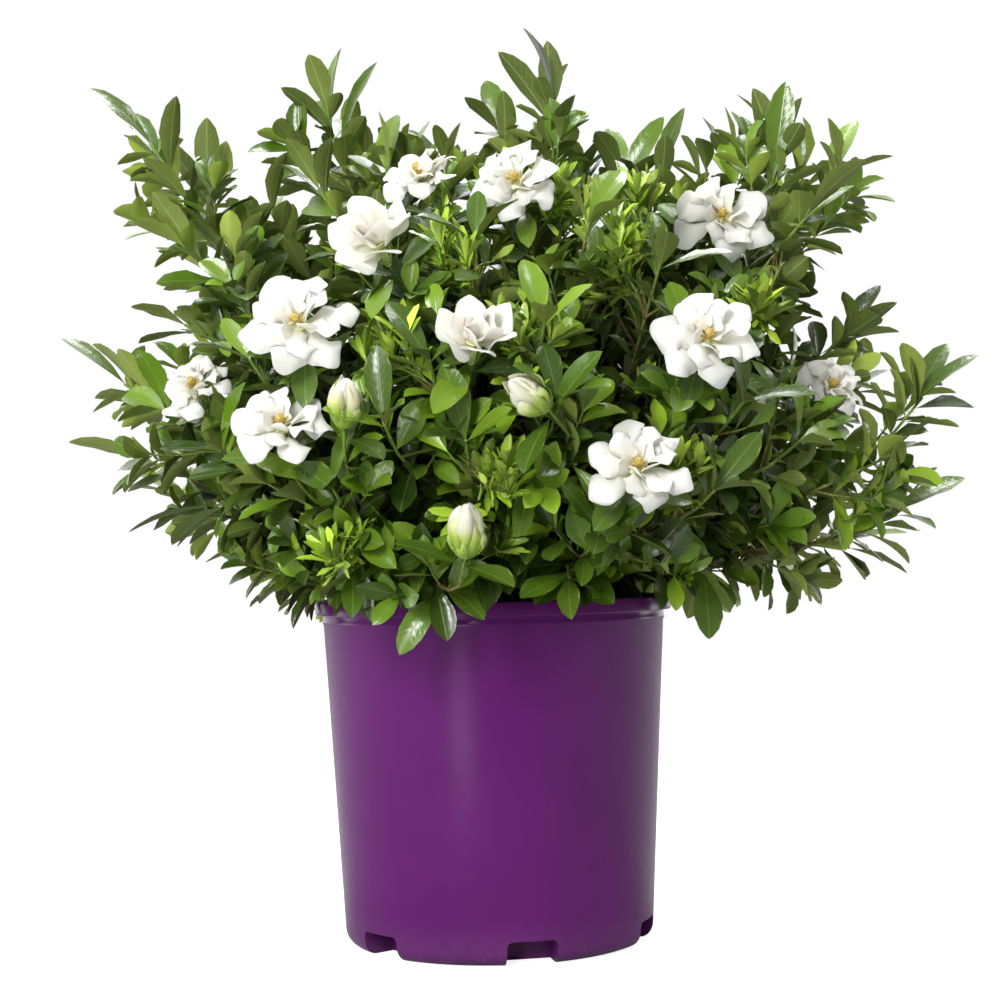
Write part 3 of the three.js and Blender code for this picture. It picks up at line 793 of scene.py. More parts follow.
@dataclass(frozen=True)
class LeafFinish(Finish):
    """A side of a gardenia leaf: green by age, with a pale midrib and arched side veins.

    A gloss above 0 is the clear wax of the upper side, where the veins are sunk.
    """

    greens: tuple[tuple[float, str], ...] = ()
    vein: str = "8fb05a"
    vein_share: float = 0.5
    gloss: float = 0.0
    gloss_roughness: float = 0.2
    vein_height: float = 0.3
    side_veins: float = 10.0
    vein_slant: float = 4.5
    blotch: float = 9.0
    blister: float = 7.0
    blister_height: float = 1.0
    values: Spot = (0.6, 1.42)
    hues: Spot = (0.51, 0.488)

    def _veins(self, tree: Tree, leaf: Node) -> Node:
        """Draws the midrib and the side veins.

        Args:
            tree: The material's node tree.
            leaf: The leaf's own map: X is the share across and Y the share along.

        Returns:
            A node that gives 1 on the midrib, less on the side veins and 0 between them.
        """
        off = add_node(tree, "Math", {"operation": "SUBTRACT"}, {0: leaf.outputs["X"], 1: 0.5})
        side = add_node(tree, "Math", {"operation": "ABSOLUTE"}, {0: off})
        rib = add_node(
            tree, "MapRange", {"interpolation_type": "SMOOTHSTEP"},
            {"Value": side, "From Min": 0.045, "From Max": 0.012},
        )
        slant = add_node(tree, "Math", {"operation": "MULTIPLY"}, {0: side, 1: -self.vein_slant})
        steps = add_node(
            tree, "Math", {"operation": "MULTIPLY_ADD"},
            {0: leaf.outputs["Y"], 1: self.side_veins, 2: slant},
        )
        fold = add_node(tree, "Math", {"operation": "PINGPONG"}, {0: steps, 1: 0.5})
        branch = add_node(
            tree, "MapRange", {"interpolation_type": "SMOOTHSTEP"},
            {"Value": fold, "From Min": 0.1, "From Max": 0.0, "To Max": 0.4},
        )
        return add_node(tree, "Math", {"operation": "MAXIMUM"}, {0: rib, 1: branch})

    def _green(self, tree: Tree, place: Socket) -> Node:
        """Gives each leaf its green, by its youth and its own shade, with faint blotches.

        Args:
            tree: The material's node tree.
            place: The place on the object.

        Returns:
            A node that gives the green.
        """
        youth = add_node(tree, "Attribute", {"attribute_name": "youth"}).outputs["Fac"]
        shade = add_node(tree, "Attribute", {"attribute_name": "shade"}).outputs["Fac"]
        greens = add_node(tree, "ValToRGB", {"stops": self.greens}, {0: youth})
        blotch = add_node(
            tree, "TexNoise", {}, {"Vector": place, "Scale": scale_of(self.blotch), "Detail": 3.0}
        )
        cast = add_node(tree, "Math", {"operation": "MULTIPLY_ADD"}, {0: blotch, 1: 0.35, 2: -0.17})
        value, hue = (
            add_node(tree, "MapRange", {}, {"Value": shade, "To Min": least, "To Max": most})
            for least, most in (self.values, self.hues)
        )
        lit = add_node(tree, "Math", {"operation": "ADD"}, {0: value, 1: cast})
        return add_node(tree, "HueSaturation", {}, {"Hue": hue, "Value": lit, "Color": greens})

    def pattern(self, tree: Tree) -> Inputs:
        """Lays out the veins on the leaf's own map, and soft blisters between them.

        Args:
            tree: The material's node tree.

        Returns:
            The shader's inputs.
        """
        place = add_node(tree, "TexCoord")
        veins = self._veins(tree, add_node(tree, "SeparateXYZ", {}, {0: place.outputs["UV"]}))
        green = self._green(tree, place.outputs["Object"])
        drawn = add_node(tree, "Math", {"operation": "MULTIPLY"}, {0: veins, 1: self.vein_share})
        colour = add_node(
            tree, "Mix", {"data_type": "RGBA"}, {0: drawn, 6: green, 7: to_linear(self.vein)}
        )
        ridges = add_node(
            tree, "Bump", {"invert": self.gloss > 0},
            {"Strength": 0.3, "Distance": self.vein_height * MM, "Height": veins},
        )
        blisters = add_node(
            tree, "TexNoise", {},
            {"Vector": place.outputs["Object"], "Scale": scale_of(self.blister), "Detail": 1.0},
        )
        relief = add_node(
            tree, "Bump", {},
            {
                "Strength": 0.35, "Distance": self.blister_height * MM, "Height": blisters,
                "Normal": ridges,
            },
        )
        return {
            "Base Color": colour.outputs[2], "Normal": relief, "Coat Weight": self.gloss,
            "Coat Roughness": self.gloss_roughness, "Coat Normal": relief,
        }


@dataclass(frozen=True)
class PetalFinish(Finish):
    """A gardenia petal: thick, waxy and white, tinted at its root, with faint lengthwise veins."""

    throat: str = "d8dda6"
    middle: str = "e9e5cc"
    body: str = "eeebe0"
    edge: str = "f1eee4"
    tint_reach: float = 0.22
    vein_height: float = 0.4
    glow_share: float = 0.8
    glow_depth: float = 3.0

    def pattern(self, tree: Tree) -> Inputs:
        """Lays out the throat's tint and the veins on the petal's own map.

        Args:
            tree: The material's node tree.

        Returns:
            The shader's inputs.
        """
        place = add_node(tree, "TexCoord")
        petal = add_node(tree, "SeparateXYZ", {}, {0: place.outputs["UV"]})
        stops = (
            (0.0, self.throat), (self.tint_reach, self.middle),
            (self.tint_reach + 0.2, self.body), (1.0, self.edge),
        )
        tone = add_node(tree, "ValToRGB", {"stops": stops}, {0: petal.outputs["Y"]})
        stretched = add_node(
            tree, "Mapping", {}, {"Vector": place.outputs["UV"], "Scale": (38.0, 2.2, 1.0)}
        )
        veins = add_node(tree, "TexNoise", {}, {"Vector": stretched, "Scale": 1.0, "Detail": 2.0})
        relief = add_node(
            tree, "Bump", {}, {"Strength": 0.35, "Distance": self.vein_height * MM, "Height": veins}
        )
        return {
            "Base Color": tone, "Normal": relief, "Subsurface Weight": self.glow_share,
            "Subsurface Radius": (1.0, 0.95, 0.85), "Subsurface Scale": self.glow_depth * MM,
        }


@dataclass(frozen=True)
class GrainyFinish(Finish):
    """A soft plant surface of two close tones in fine grains, such as pollen or a green sepal."""

    dark: str = "8a6a1e"
    light: str = "e4cb70"
    grain: float = 0.8
    grain_height: float = 0.3

    def pattern(self, tree: Tree) -> Inputs:
        """Lays out the grains.

        Args:
            tree: The material's node tree.

        Returns:
            The shader's inputs.
        """
        place = add_node(tree, "TexCoord").outputs["Object"]
        grains = add_node(
            tree, "TexNoise", {}, {"Vector": place, "Scale": scale_of(self.grain), "Detail": 3.0}
        )
        tone = add_node(
            tree, "ValToRGB", {"stops": ((0.35, self.dark), (0.62, self.light))}, {0: grains}
        )
        relief = add_node(
            tree, "Bump", {},
            {"Strength": 0.5, "Distance": self.grain_height * MM, "Height": grains},
        )
        return {"Base Color": tone, "Normal": relief}


@dataclass(frozen=True)
class StudioFloor(Finish):
    """Translucent white table lit from below, which shows only the pot's soft shadow."""

    tone: str = "b8b8b8"
    glow: float = 0.85

    def pattern(self, tree: Tree) -> Inputs:
        """Gives the board a plain pale tone.

        Args:
            tree: The material's node tree.

        Returns:
            The shader's inputs.
        """
        is_seen = add_node(tree, "LightPath").outputs["Is Camera Ray"]
        glow = add_node(tree, "Math", {"operation": "MULTIPLY"}, {0: is_seen, 1: self.glow})
        return {
            "Base Color": to_linear(self.tone), "Emission Color": to_linear("ffffff"),
            "Emission Strength": glow,
        }


class Palette:
    """Every material of the object, each made once."""

    def __init__(self) -> None:
        """Makes the materials."""
        # A thin satin shell of one purple, which mirrors the lamps as soft upright bands
        self.pot = MouldedPolypropylene("injection moulded polypropylene", 0.25, 1.49, 0.22).build()
        # Dark crumbs without gloss, nearly black in damp patches
        self.soil = PottingBark("composted bark and peat", 0.95).build()
        # Brown, matt and fissured low down, and green on the young twigs
        self.bark = StemBark("gardenia stem bark", 0.7).build()
        # Deep green under clear wax, which gives small bright highlights, and lime when young
        self.leaf_top = LeafFinish(
            "gardenia leaf, waxed upper side", 0.5, 1.45, 0.15,
            greens=((0.0, "1a2b06"), (0.3, "3b5412"), (0.6, "719720"), (1.0, "b4d63c")),
            vein="869c50", vein_share=0.28, gloss=1.0,
        ).build()
        # A paler olive without wax, with raised veins
        self.leaf_under = LeafFinish(
            "gardenia leaf, matt underside", 0.62, 1.45, 0.3,
            greens=((0.0, "536130"), (0.4, "70803b"), (1.0, "a3bd48")),
            vein="a3b070", vein_share=0.45, vein_height=0.42,
        ).build()
        # Thick waxy white that light seeps through, so its shadows stay pale
        self.petal = PetalFinish("gardenia petal", 0.5, 1.42).build()
        # Cream at the tip and still green towards the stalk
        self.bud_petal = PetalFinish(
            "furled gardenia petal", 0.48, 1.42, throat="86a83a", middle="bccf68", body="e8e5c0",
            edge="ebe8da", tint_reach=0.4,
        ).build()
        # The petals that close a bud last, yellow green over half their length
        self.outer_petal = PetalFinish(
            "outer petal of a gardenia bud", 0.5, 1.42, throat="7c9a33", middle="a5bf4c",
            body="d3dc90", edge="efecc8", tint_reach=0.5,
        ).build()
        # Matt gold with darker grains of pollen
        self.stigma = GrainyFinish("golden stigma and pollen", 0.7).build()
        # Fresh green with a faint sheen
        self.sepal = GrainyFinish(
            "green sepal", 0.5, 1.45, dark="6f9636", light="a7c456", grain=1.6
        ).build()
        # A board as pale as the backdrop
        self.floor = StudioFloor("translucent table top", 0.9).build()


# Blanks, which are bent to shape wherever a leaf, petal or stem grows


def baked(name: str, bm: bmesh.types.BMesh) -> bpy.types.Mesh:
    """Turns a bmesh into a mesh and frees it.

    Args:
        name: The mesh's name.
        bm: The bmesh.

    Returns:
        The mesh.
    """
    mesh = bpy.data.meshes.new(name)
    bm.to_mesh(mesh)
    bm.free()
    return mesh


@dataclass(frozen=True)
class Blank:
    """A closed mesh with a map from its vertices to a plain shape, ready to be bent into place."""

    mesh: bpy.types.Mesh
    places: np.ndarray

    @property
    def size(self) -> int:
        """The number of vertices."""
        return len(self.places)


def blade_blank(name: str, around: int, outline: Sequence[Spot], slots: tuple[int, int]) -> Blank:
    """Makes a thin closed blade from a sphere that is drawn flat.

    Args:
        name: The blank's name.
        around: Number of edges around the blade, a multiple of 4.
        outline: Share along and half width, from the tip to the root.
        slots: Material numbers of the upper and of the lower side.

    Returns:
        The blank. Its places are the share across from -1 to 1, the share along, and the share of
        the thickness from -1 to 1.
    """
    rings = len(outline) - 1
    bm = bmesh.new()
    bmesh.ops.create_uvsphere(bm, u_segments=around, v_segments=rings, radius=1.0)
    layer = bm.loops.layers.uv.new("leaf")
    places = {}
    for vert in bm.verts:
        ring = round(math.acos(max(-1.0, min(1.0, vert.co.z))) / math.pi * rings)
        along, half = outline[ring]
        angle = math.atan2(vert.co.y, vert.co.x)
        is_pole = ring in (0, rings)
        across = 0.0 if is_pole else math.cos(angle) * half
        thick = 0.0 if is_pole else math.sin(angle) * min(1.0, 0.35 + half)
        places[vert.index] = (across, along, thick)
    for edge in bm.edges:
        edge.smooth = not all(abs(places[v.index][2]) < 1e-6 for v in edge.verts)
    for face in bm.faces:
        is_upper = sum(places[v.index][2] for v in face.verts) > 0
        face.material_index = slots[0] if is_upper else slots[1]
        face.smooth = True
        for loop in face.loops:
            across, along, _ = places[loop.vert.index]
            loop[layer].uv = (0.5 + 0.5 * across, along)
    return Blank(baked(name, bm), np.array([places[i] for i in range(len(places))]))


def tube_blank(name: str, sides: int, rings: int) -> Blank:
    """Makes a closed straight tube.

    Args:
        name: The blank's name.
        sides: Number of sides.
        rings: Number of rings of vertices, ends included.

    Returns:
        The blank. Its places are the cosine and sine around it, and the ring's number.
    """
    bm = bmesh.new()
    bmesh.ops.create_cone(
        bm, cap_ends=True, cap_tris=False, segments=sides, radius1=1.0, radius2=1.0, depth=1.0
    )
    upright = [e for e in bm.edges if abs(e.verts[0].co.z - e.verts[1].co.z) > 0.5]
    bmesh.ops.subdivide_edges(bm, edges=upright, cuts=rings - 2)
    bm.loops.layers.uv.new("leaf")
    for face in bm.faces:
        face.smooth = len(face.verts) == 4
    places = [(v.co.x, v.co.y, round((v.co.z + 0.5) * (rings - 1))) for v in bm.verts]
    return Blank(baked(name, bm), np.array(places))


def unit(rows: np.ndarray) -> np.ndarray:
    """Gives each row unit length."""
    return rows / np.maximum(np.linalg.norm(rows, axis=-1, keepdims=True), 1e-9)


# How far a blade's margins wave apart, how they ruffle, and where its tip starts to roll
MARGIN_PHASE = 1.3
RUFFLE_RATE, RUFFLE_PHASE = 1.4, 1.7
ROLL_START = 0.55


@dataclass(frozen=True)
class Blade:
    """One leaf or petal: its rib from root to tip, and how it bends, in millimetres."""

    root: Vector
    tip: Vector
    bow: Vector
    face: Vector
    width: float
    thickness: float = 0.5
    fold: float = 0.12
    wave: float = 0.0
    waves: float = 2.0
    phase: float = 0.0
    curl: float = 0.0
    roll: float = 0.0
    youth: float = 0.3
    shade: float = 0.5
    sway: float = 0.0
    ruffle: float = 0.0


def bend_blades(blank: Blank, blades: Sequence[Blade]) -> np.ndarray:
    """Bends one blank into many blades.

    Args:
        blank: A blank from blade_blank.
        blades: The blades to make.

    Returns:
        The places of every vertex, blade by blade, in millimetres.
    """

    def column(name: str) -> np.ndarray:
        """Reads the same field from every blade."""
        return np.array([getattr(blade, name) for blade in blades], dtype=float)[:, None]

    across, along, thick = (blank.places[:, k] for k in range(3))
    t = along[None, :, None]
    root, tip = column("root"), column("tip")
    control = (root + tip) / 2 + column("bow")
    rib = root * (1 - t) ** 2 + control * (2 * t * (1 - t)) + tip * t**2
    forward = unit((control - root) * (1 - t) + (tip - control) * t)
    face = column("face")
    upper = unit(face - forward * np.sum(face * forward, axis=-1, keepdims=True))
    aside = np.cross(upper, forward)
    edge = np.abs(across)[None]
    phase = column("phase") + np.sign(across)[None] * MARGIN_PHASE
    swing = along[None] * column("waves") * 2 * math.pi
    ripple = np.sin(swing + phase)
    ruffle = np.sin(swing * RUFFLE_RATE + RUFFLE_PHASE * phase) * column("ruffle")
    half = column("width") * 0.5 * (1 + ruffle)
    sway = 4 * along[None] * (1 - along[None]) * column("sway")
    lift = half * edge * column("fold")
    lift = lift + half * edge**2 * column("curl")
    lift = lift + ripple * edge**2 * column("wave")
    lift = lift - np.clip(along[None] - ROLL_START, 0, 1) ** 2 * column("roll")
    lift = lift + thick[None] * column("thickness") * 0.5
    return rib + aside * (half * across[None] + sway)[..., None] + upper * lift[..., None]


def bend_tube(blank: Blank, rings: Rings, radii: Sequence[float]) -> np.ndarray:
    """Bends a straight tube along rings.

    Args:
        blank: A blank from tube_blank with as many rings.
        rings: The points and headings that it follows.
        radii: Its radius at each ring.

    Returns:
        The places of its vertices, in millimetres.
    """
    normal = Vector((1, 0, 0)) if abs(rings[0][1].z) > 0.9 else UP
    frames = []
    for at, heading in rings:
        normal = square_to(normal, heading)
        frames.append((at, normal, heading.cross(normal)))
    at, first, second = (np.array([f[k] for f in frames]) for k in range(3))
    ring = blank.places[:, 2].astype(int)
    r = np.array(radii)[ring][:, None]
    cosine, sine = blank.places[:, 0:1], blank.places[:, 1:2]
    return at[ring] + first[ring] * cosine * r + second[ring] * sine * r


@dataclass
class Growth:
    """Bent blanks that are gathered into the mesh of one piece."""

    name: str
    blanks: list[Blank] = field(default_factory=list)
    places: list[np.ndarray] = field(default_factory=list)
    youths: list[np.ndarray] = field(default_factory=list)
    shades: list[np.ndarray] = field(default_factory=list)

    def blades(self, blank: Blank, blades: Sequence[Blade]) -> None:
        """Adds blades that share a blank.

        Args:
            blank: The blank.
            blades: The blades, if any.
        """
        if not blades:
            return
        self.blanks += [blank] * len(blades)
        self.places.append(bend_blades(blank, blades).reshape(-1, 3))
        self.youths.append(np.repeat([b.youth for b in blades], blank.size))
        self.shades.append(np.repeat([b.shade for b in blades], blank.size))

    def tube(self, blank: Blank, rings: Rings, radii: Sequence[float], youth: Spot) -> None:
        """Adds a stem.

        Args:
            blank: The blank of the tube.
            rings: The points and headings that it follows.
            radii: Its radius at each ring.
            youth: How young it is at its start and at its end.
        """
        self.blanks.append(blank)
        self.places.append(bend_tube(blank, rings, radii))
        self.youths.append(np.interp(blank.places[:, 2], (0, len(rings) - 1), youth))
        self.shades.append(np.full(blank.size, 0.5))

    def build(self, materials: Sequence[bpy.types.Material]) -> bpy.types.Object:
        """Makes the piece.

        Args:
            materials: The materials, by the numbers that the blanks' faces carry.

        Returns:
            The object, in metres, at the origin.
        """
        bm = bmesh.new()
        for blank in self.blanks:
            bm.from_mesh(blank.mesh)
        mesh = baked(self.name, bm)
        mesh.vertices.foreach_set("co", (np.concatenate(self.places) * MM).ravel())
        for name, rows in (("youth", self.youths), ("shade", self.shades)):
            attribute = mesh.attributes.new(name, "FLOAT", "POINT")
            attribute.data.foreach_set("value", np.concatenate(rows))
        for material in materials:
            mesh.materials.append(material)
        mesh.update()
        return put(self.name, mesh)


def put(name: str, data: bpy.types.ID) -> bpy.types.Object:
    """Puts a mesh, a lamp or a camera in the scene.

    Args:
        name: The object's name.
        data: What it shows. A mesh is in metres and in place.

    Returns:
        The object.
    """
    made = bpy.data.objects.new(name, data)
    bpy.context.scene.collection.objects.link(made)
    return made


def settle(piece: bpy.types.Object, slot: str, *nodes: str) -> None:
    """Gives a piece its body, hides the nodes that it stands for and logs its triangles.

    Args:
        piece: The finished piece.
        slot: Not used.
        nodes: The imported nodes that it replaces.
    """
    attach(piece, "root")
    if nodes:
        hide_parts(*nodes)
    LOG.info("%s: %d triangles", piece.name, sum(len(p.vertices) - 2 for p in piece.data.polygons))


# The pot


def spun(name: str, profile: Sequence[Spot], steps: int) -> bpy.types.Mesh:
    """Spins a profile about the upright axis.

    Args:
        name: The mesh's name.
        profile: Radius and height of each point, in millimetres, from the axis to the axis.
        steps: Number of steps around.

    Returns:
        A closed mesh in metres, with its faces outwards.
    """
    bm = bmesh.new()
    verts = [bm.verts.new((r * MM, 0.0, z * MM)) for r, z in profile]
    edges = [bm.edges.new(pair) for pair in zip(verts, verts[1:])]
    bmesh.ops.spin(
        bm, geom=verts + edges, cent=(0, 0, 0), axis=(0, 0, 1), angle=2 * math.pi,
        steps=steps, use_merge=True, use_duplicate=False,
    )
    bmesh.ops.remove_doubles(bm, verts=bm.verts, dist=1e-6)
    bmesh.ops.recalc_face_normals(bm, faces=bm.faces)
    return baked(name, bm)


@dataclass(frozen=True)
class NurseryPot:
    """The moulded pot: a lip, a shoulder line, a slanted wall and a foot with drainage arches."""

    palette: Palette
    wall_top: float = 113.0
    wall_foot: float = 101.5
    wall: float = 2.4
    lip: float = 9.7
    foot_round: float = 9.0
    foot_inner: float = 68.0
    recess: float = 5.0
    arches: int = 6
    arch_first: float = 11.7
    arch_width: float = 32.0
    arch_height: float = 15.5
    arch_reach: float = 24.0
    arch_round: float = 3.5
    hole_radius: float = 6.0
    hole_depth: float = 12.0
    steps: int = 180
    sharp_angle: float = 38.0

    def _foot(self, inset: float) -> list[Spot]:
        """Gives the profile of the underside and the rounded foot.

        Args:
            inset: How far it is drawn in.

        Returns:
            The profile's points, from the axis outwards.
        """
        turn = [math.radians(a) for a in range(-80, 1, 16)]
        r0, z0 = self.wall_foot - self.foot_round, self.foot_round + 1
        radius = self.foot_round - inset
        arc = [(r0 + radius * math.cos(a), z0 + (radius + 1) * math.sin(a)) for a in turn]
        return [
            (0.0, self.recess + inset),
            (self.foot_inner - inset, self.recess + inset),
            (self.foot_inner + self.recess - inset / 2, inset),
            (r0 - 2, inset),
            *arc,
        ]

    def _outside(self) -> bpy.types.Mesh:
        """Makes the outer form, filled.

        Returns:
            A closed mesh, in metres.
        """
        brim = POT_HEIGHT - self.lip
        profile = self._foot(0.0) + [
            (self.wall_top - 0.5, brim - 6.2),
            (self.wall_top + 0.35, brim - 5.0),
            (self.wall_top + 0.35, brim - 3.4),
            (self.wall_top - 0.1, brim - 2.4),
            (self.wall_top, brim),
            (RIM_RADIUS - 0.9, brim + 0.4),
            (RIM_RADIUS - 0.1, brim + 1.2),
            (RIM_RADIUS, brim + 2.2),
            (RIM_RADIUS, POT_HEIGHT - 1.8),
            (RIM_RADIUS - 0.5, POT_HEIGHT - 0.6),
            (RIM_RADIUS - 1.6, POT_HEIGHT),
            (0.0, POT_HEIGHT),
        ]
        return spun("pot_outside", profile, self.steps)

    def _inside(self) -> bpy.types.Mesh:
        """Makes what the walls enclose.

        Returns:
            A closed mesh, in metres.
        """
        brim = POT_HEIGHT - self.lip
        mouth = self.wall_top + 1.4
        profile = self._foot(self.wall) + [
            (self.wall_top - self.wall, brim),
            (mouth, POT_HEIGHT - 2),
            (mouth + 0.6, POT_HEIGHT - 0.7),
            (mouth + 0.9, POT_HEIGHT + 1),
            (0.0, POT_HEIGHT + 1),
        ]
        return spun("pot_inside", profile, self.steps)

    def _around_foot(
        self, name: str, shape: Callable[[bmesh.types.BMesh], None]
    ) -> bpy.types.Object:
        """Repeats a shape at every arch.

        Args:
            name: The cutter's name.
            shape: Adds the front arch's shape to a bmesh, in metres.

        Returns:
            The cutter.
        """
        bm = bmesh.new()
        for i in range(self.arches):
            before = set(bm.verts)
            shape(bm)
            fresh = [v for v in bm.verts if v not in before]
            turn = Matrix.Rotation(math.radians(self.arch_first + i * 360 / self.arches), 4, "Z")
            bmesh.ops.transform(bm, matrix=turn, verts=fresh)
        return put(name, baked(name, bm))

    def _arch(self, growth: float) -> Callable[[bmesh.types.BMesh], None]:
        """Gives a shape for the hollow of an arch.

        Args:
            growth: How much wider and higher it is than the arch.

        Returns:
            A function that adds the hollow of the front arch to a bmesh, in metres.
        """
        depth = self.arch_reach + 20 + growth
        middle = -(self.wall_foot - self.arch_reach - growth + depth / 2)
        width, height = self.arch_width + 2 * growth, 2 * (self.arch_height + growth)

        def shape(bm: bmesh.types.BMesh) -> None:
            """Adds a block whose upper long edges are rounded.

            Args:
                bm: Where it is added, in metres.
            """
            place = Matrix.Translation((0, middle * MM, 0))
            size = Matrix.Diagonal((width * MM, depth * MM, height * MM, 1))
            made = bmesh.ops.create_cube(bm, size=1.0, matrix=place @ size)
            upper = [
                edge
                for edge in {edge for vert in made["verts"] for edge in vert.link_edges}
                if all(vert.co.z > 0 for vert in edge.verts)
                and abs(edge.verts[0].co.x - edge.verts[1].co.x) < 1e-6
            ]
            bmesh.ops.bevel(
                bm, geom=upper, offset=self.arch_round * MM, offset_type="OFFSET", segments=4,
                profile=0.5, affect="EDGES", material=-1,
            )

        return shape

    def _hole(self, bm: bmesh.types.BMesh) -> None:
        """Adds the drain hole at the top of an arch.

        Args:
            bm: Where the front arch's hole is added, in metres.
        """
        reach = -(self.wall_foot - self.arch_reach + self.hole_radius + 4)
        place = Matrix.Translation((0, reach * MM, self.arch_height * MM))
        bmesh.ops.create_cone(
            bm, cap_ends=True, segments=24, radius1=self.hole_radius * MM,
            radius2=self.hole_radius * MM, depth=self.hole_depth * MM, matrix=place,
        )

    def build(self) -> None:
        """Makes the pot."""
        inside = put("pot_inside", self._inside())
        carve(inside, self._around_foot("arch_walls", self._arch(self.wall)))
        pot = put("pot_shell", self._outside())
        carve(pot, self._around_foot("arches", self._arch(0.0)), inside)
        carve(pot, self._around_foot("drain_holes", self._hole))
        pot.data.materials.clear()
        pot.data.materials.append(self.palette.pot)
        pot.data.polygons.foreach_set("use_smooth", [True] * len(pot.data.polygons))
        pot.data.set_sharp_from_angle(angle=math.radians(self.sharp_angle))
        settle(pot, "pot_plastic", "pot")


def carve(body: bpy.types.Object, *cutters: bpy.types.Object) -> None:
    """Cuts bodies out of a body and removes them.

    Args:
        body: The body that is cut.
        cutters: What is cut out of it.
    """
    for cutter in cutters:
        cut = body.modifiers.new("cut", "BOOLEAN")
        cut.operation = "DIFFERENCE"
        cut.solver = "EXACT"
        cut.object = cutter
    graph = bpy.context.evaluated_depsgraph_get()
    shaped = bpy.data.meshes.new_from_object(body.evaluated_get(graph))
    body.modifiers.clear()
    body.data = shaped
    for cutter in cutters:
        bpy.data.objects.remove(cutter)


# The potting mix


@dataclass(frozen=True)
class PottingMix:
    """The mound of bark and peat around the canes, with loose chips on it."""

    palette: Palette
    steps: int = 120
    rings: int = 26
    floor: float = 24.0
    edge_rise: float = 1.2
    edge_start: float = 0.85
    lump: float = 7.0
    unevenness: float = 1.6
    chips: int = 520
    chip_shapes: int = 5
    chip_size: tuple[Spot, ...] = ((2.0, 6.0), (1.5, 3.2), (1.5, 3.0))

    def _height(self, radius: float) -> float:
        """Gives the mound's height.

        Args:
            radius: The distance from the pot's axis.

        Returns:
            The height.
        """
        share = min(radius / SOIL_RADIUS, 1.0)
        edge = self.edge_rise * max(share - self.edge_start, 0) / (1 - self.edge_start)
        return SOIL_TOP + SOIL_CROWN * math.cos(share * math.pi * 0.5) + edge

    def _mound(self) -> bpy.types.Object:
        """Makes the mound down to the pot's floor.

        Returns:
            The piece.
        """
        radii = [i * SOIL_RADIUS / self.rings for i in range(self.rings + 1)]
        top = [(r, self._height(r)) for r in radii]
        wall = [(SOIL_RADIUS - 4.5, 120.0), (SOIL_RADIUS - 10.5, self.floor)]
        profile = [*top, *wall, (0.0, self.floor)]
        mesh = spun("potting_mix", profile, self.steps)
        for vert in mesh.vertices:
            if vert.co.z > (SOIL_TOP - 1) * MM and vert.co.to_2d().length < (SOIL_RADIUS - 1) * MM:
                at = vert.co / (self.lump * MM)
                vert.co.z += (noise.noise(at) + 0.6 * noise.noise(at * 2.7)) * self.unevenness * MM
        mesh.polygons.foreach_set("use_smooth", [True] * len(mesh.polygons))
        mesh.materials.append(self.palette.soil)
        return put("potting_mix", mesh)

    def _chip(self, number: int) -> Blank:
        """Makes a rough bark chip from a ball of few faces.

        Args:
            number: The chip's number, which gives it its shape.

        Returns:
            The blank, whose places are the vertices themselves.
        """
        bm = bmesh.new()
        bmesh.ops.create_icosphere(bm, subdivisions=1, radius=1.0)
        for vert in bm.verts:
            vert.co *= 0.75 + 0.5 * draw(40, number, vert.index)
            vert.co.z *= 0.4
        bm.loops.layers.uv.new("leaf")
        mesh = baked(f"chip_{number}", bm)
        return Blank(mesh, np.array([v.co[:] for v in mesh.vertices]))

    def _scatter(self) -> bpy.types.Object:
        """Scatters chips over the mound by a seeded rule.

        Returns:
            The piece.
        """
        rng = random.Random(SHRUB_SEED)
        blanks = [self._chip(i) for i in range(self.chip_shapes)]
        growth = Growth("bark_chips")
        for i in range(self.chips):
            radius = (SOIL_RADIUS - 5) * math.sqrt((i + 0.5) / self.chips)
            turn = math.radians(i * GOLDEN_TURN)
            centre = Vector((radius * math.cos(turn), radius * math.sin(turn), 0))
            centre.z = self._height(radius) + 0.6
            lean = Matrix.Rotation(rng.uniform(-0.5, 0.5), 3, "X")
            spin = Matrix.Rotation(rng.uniform(0, math.tau), 3, "Z")
            size = Matrix.Diagonal([rng.uniform(*span) for span in self.chip_size])
            blank = blanks[i % len(blanks)]
            growth.blanks.append(blank)
            growth.places.append(blank.places @ np.array(spin @ lean @ size).T + np.array(centre))
            growth.youths.append(np.zeros(blank.size))
            growth.shades.append(np.full(blank.size, rng.random()))
        return growth.build([self.palette.soil])

    def build(self) -> None:
        """Makes the mound and the chips."""
        settle(self._mound(), "potting_mix", "soil")
        settle(self._scatter(), "potting_mix")


# Canes, twigs and leaves

# From the tip to the root: the share along, and the half width
LEAF_OUTLINE = (
    (1.0, 0.0), (0.962, 0.27), (0.86, 0.7), (0.7, 0.97), (0.52, 0.97), (0.3, 0.6), (0.1, 0.15),
    (0.0, 0.0),
)
SMALL_LEAF_OUTLINE = ((1.0, 0.0), (0.89, 0.62), (0.62, 1.0), (0.31, 0.61), (0.06, 0.12), (0.0, 0.0))


@dataclass
class LeafBlanks:
    """The blanks of the foliage, each made once."""

    large: Blank = field(default_factory=lambda: blade_blank("large_leaf", 8, LEAF_OUTLINE, (1, 2)))
    small: Blank = field(
        default_factory=lambda: blade_blank("small_leaf", 4, SMALL_LEAF_OUTLINE, (1, 2))
    )
    cane: Blank = field(default_factory=lambda: tube_blank("cane", 10, 12))
    shoot: Blank = field(default_factory=lambda: tube_blank("shoot", 6, 8))
    twig: Blank = field(default_factory=lambda: tube_blank("twig", 5, 4))


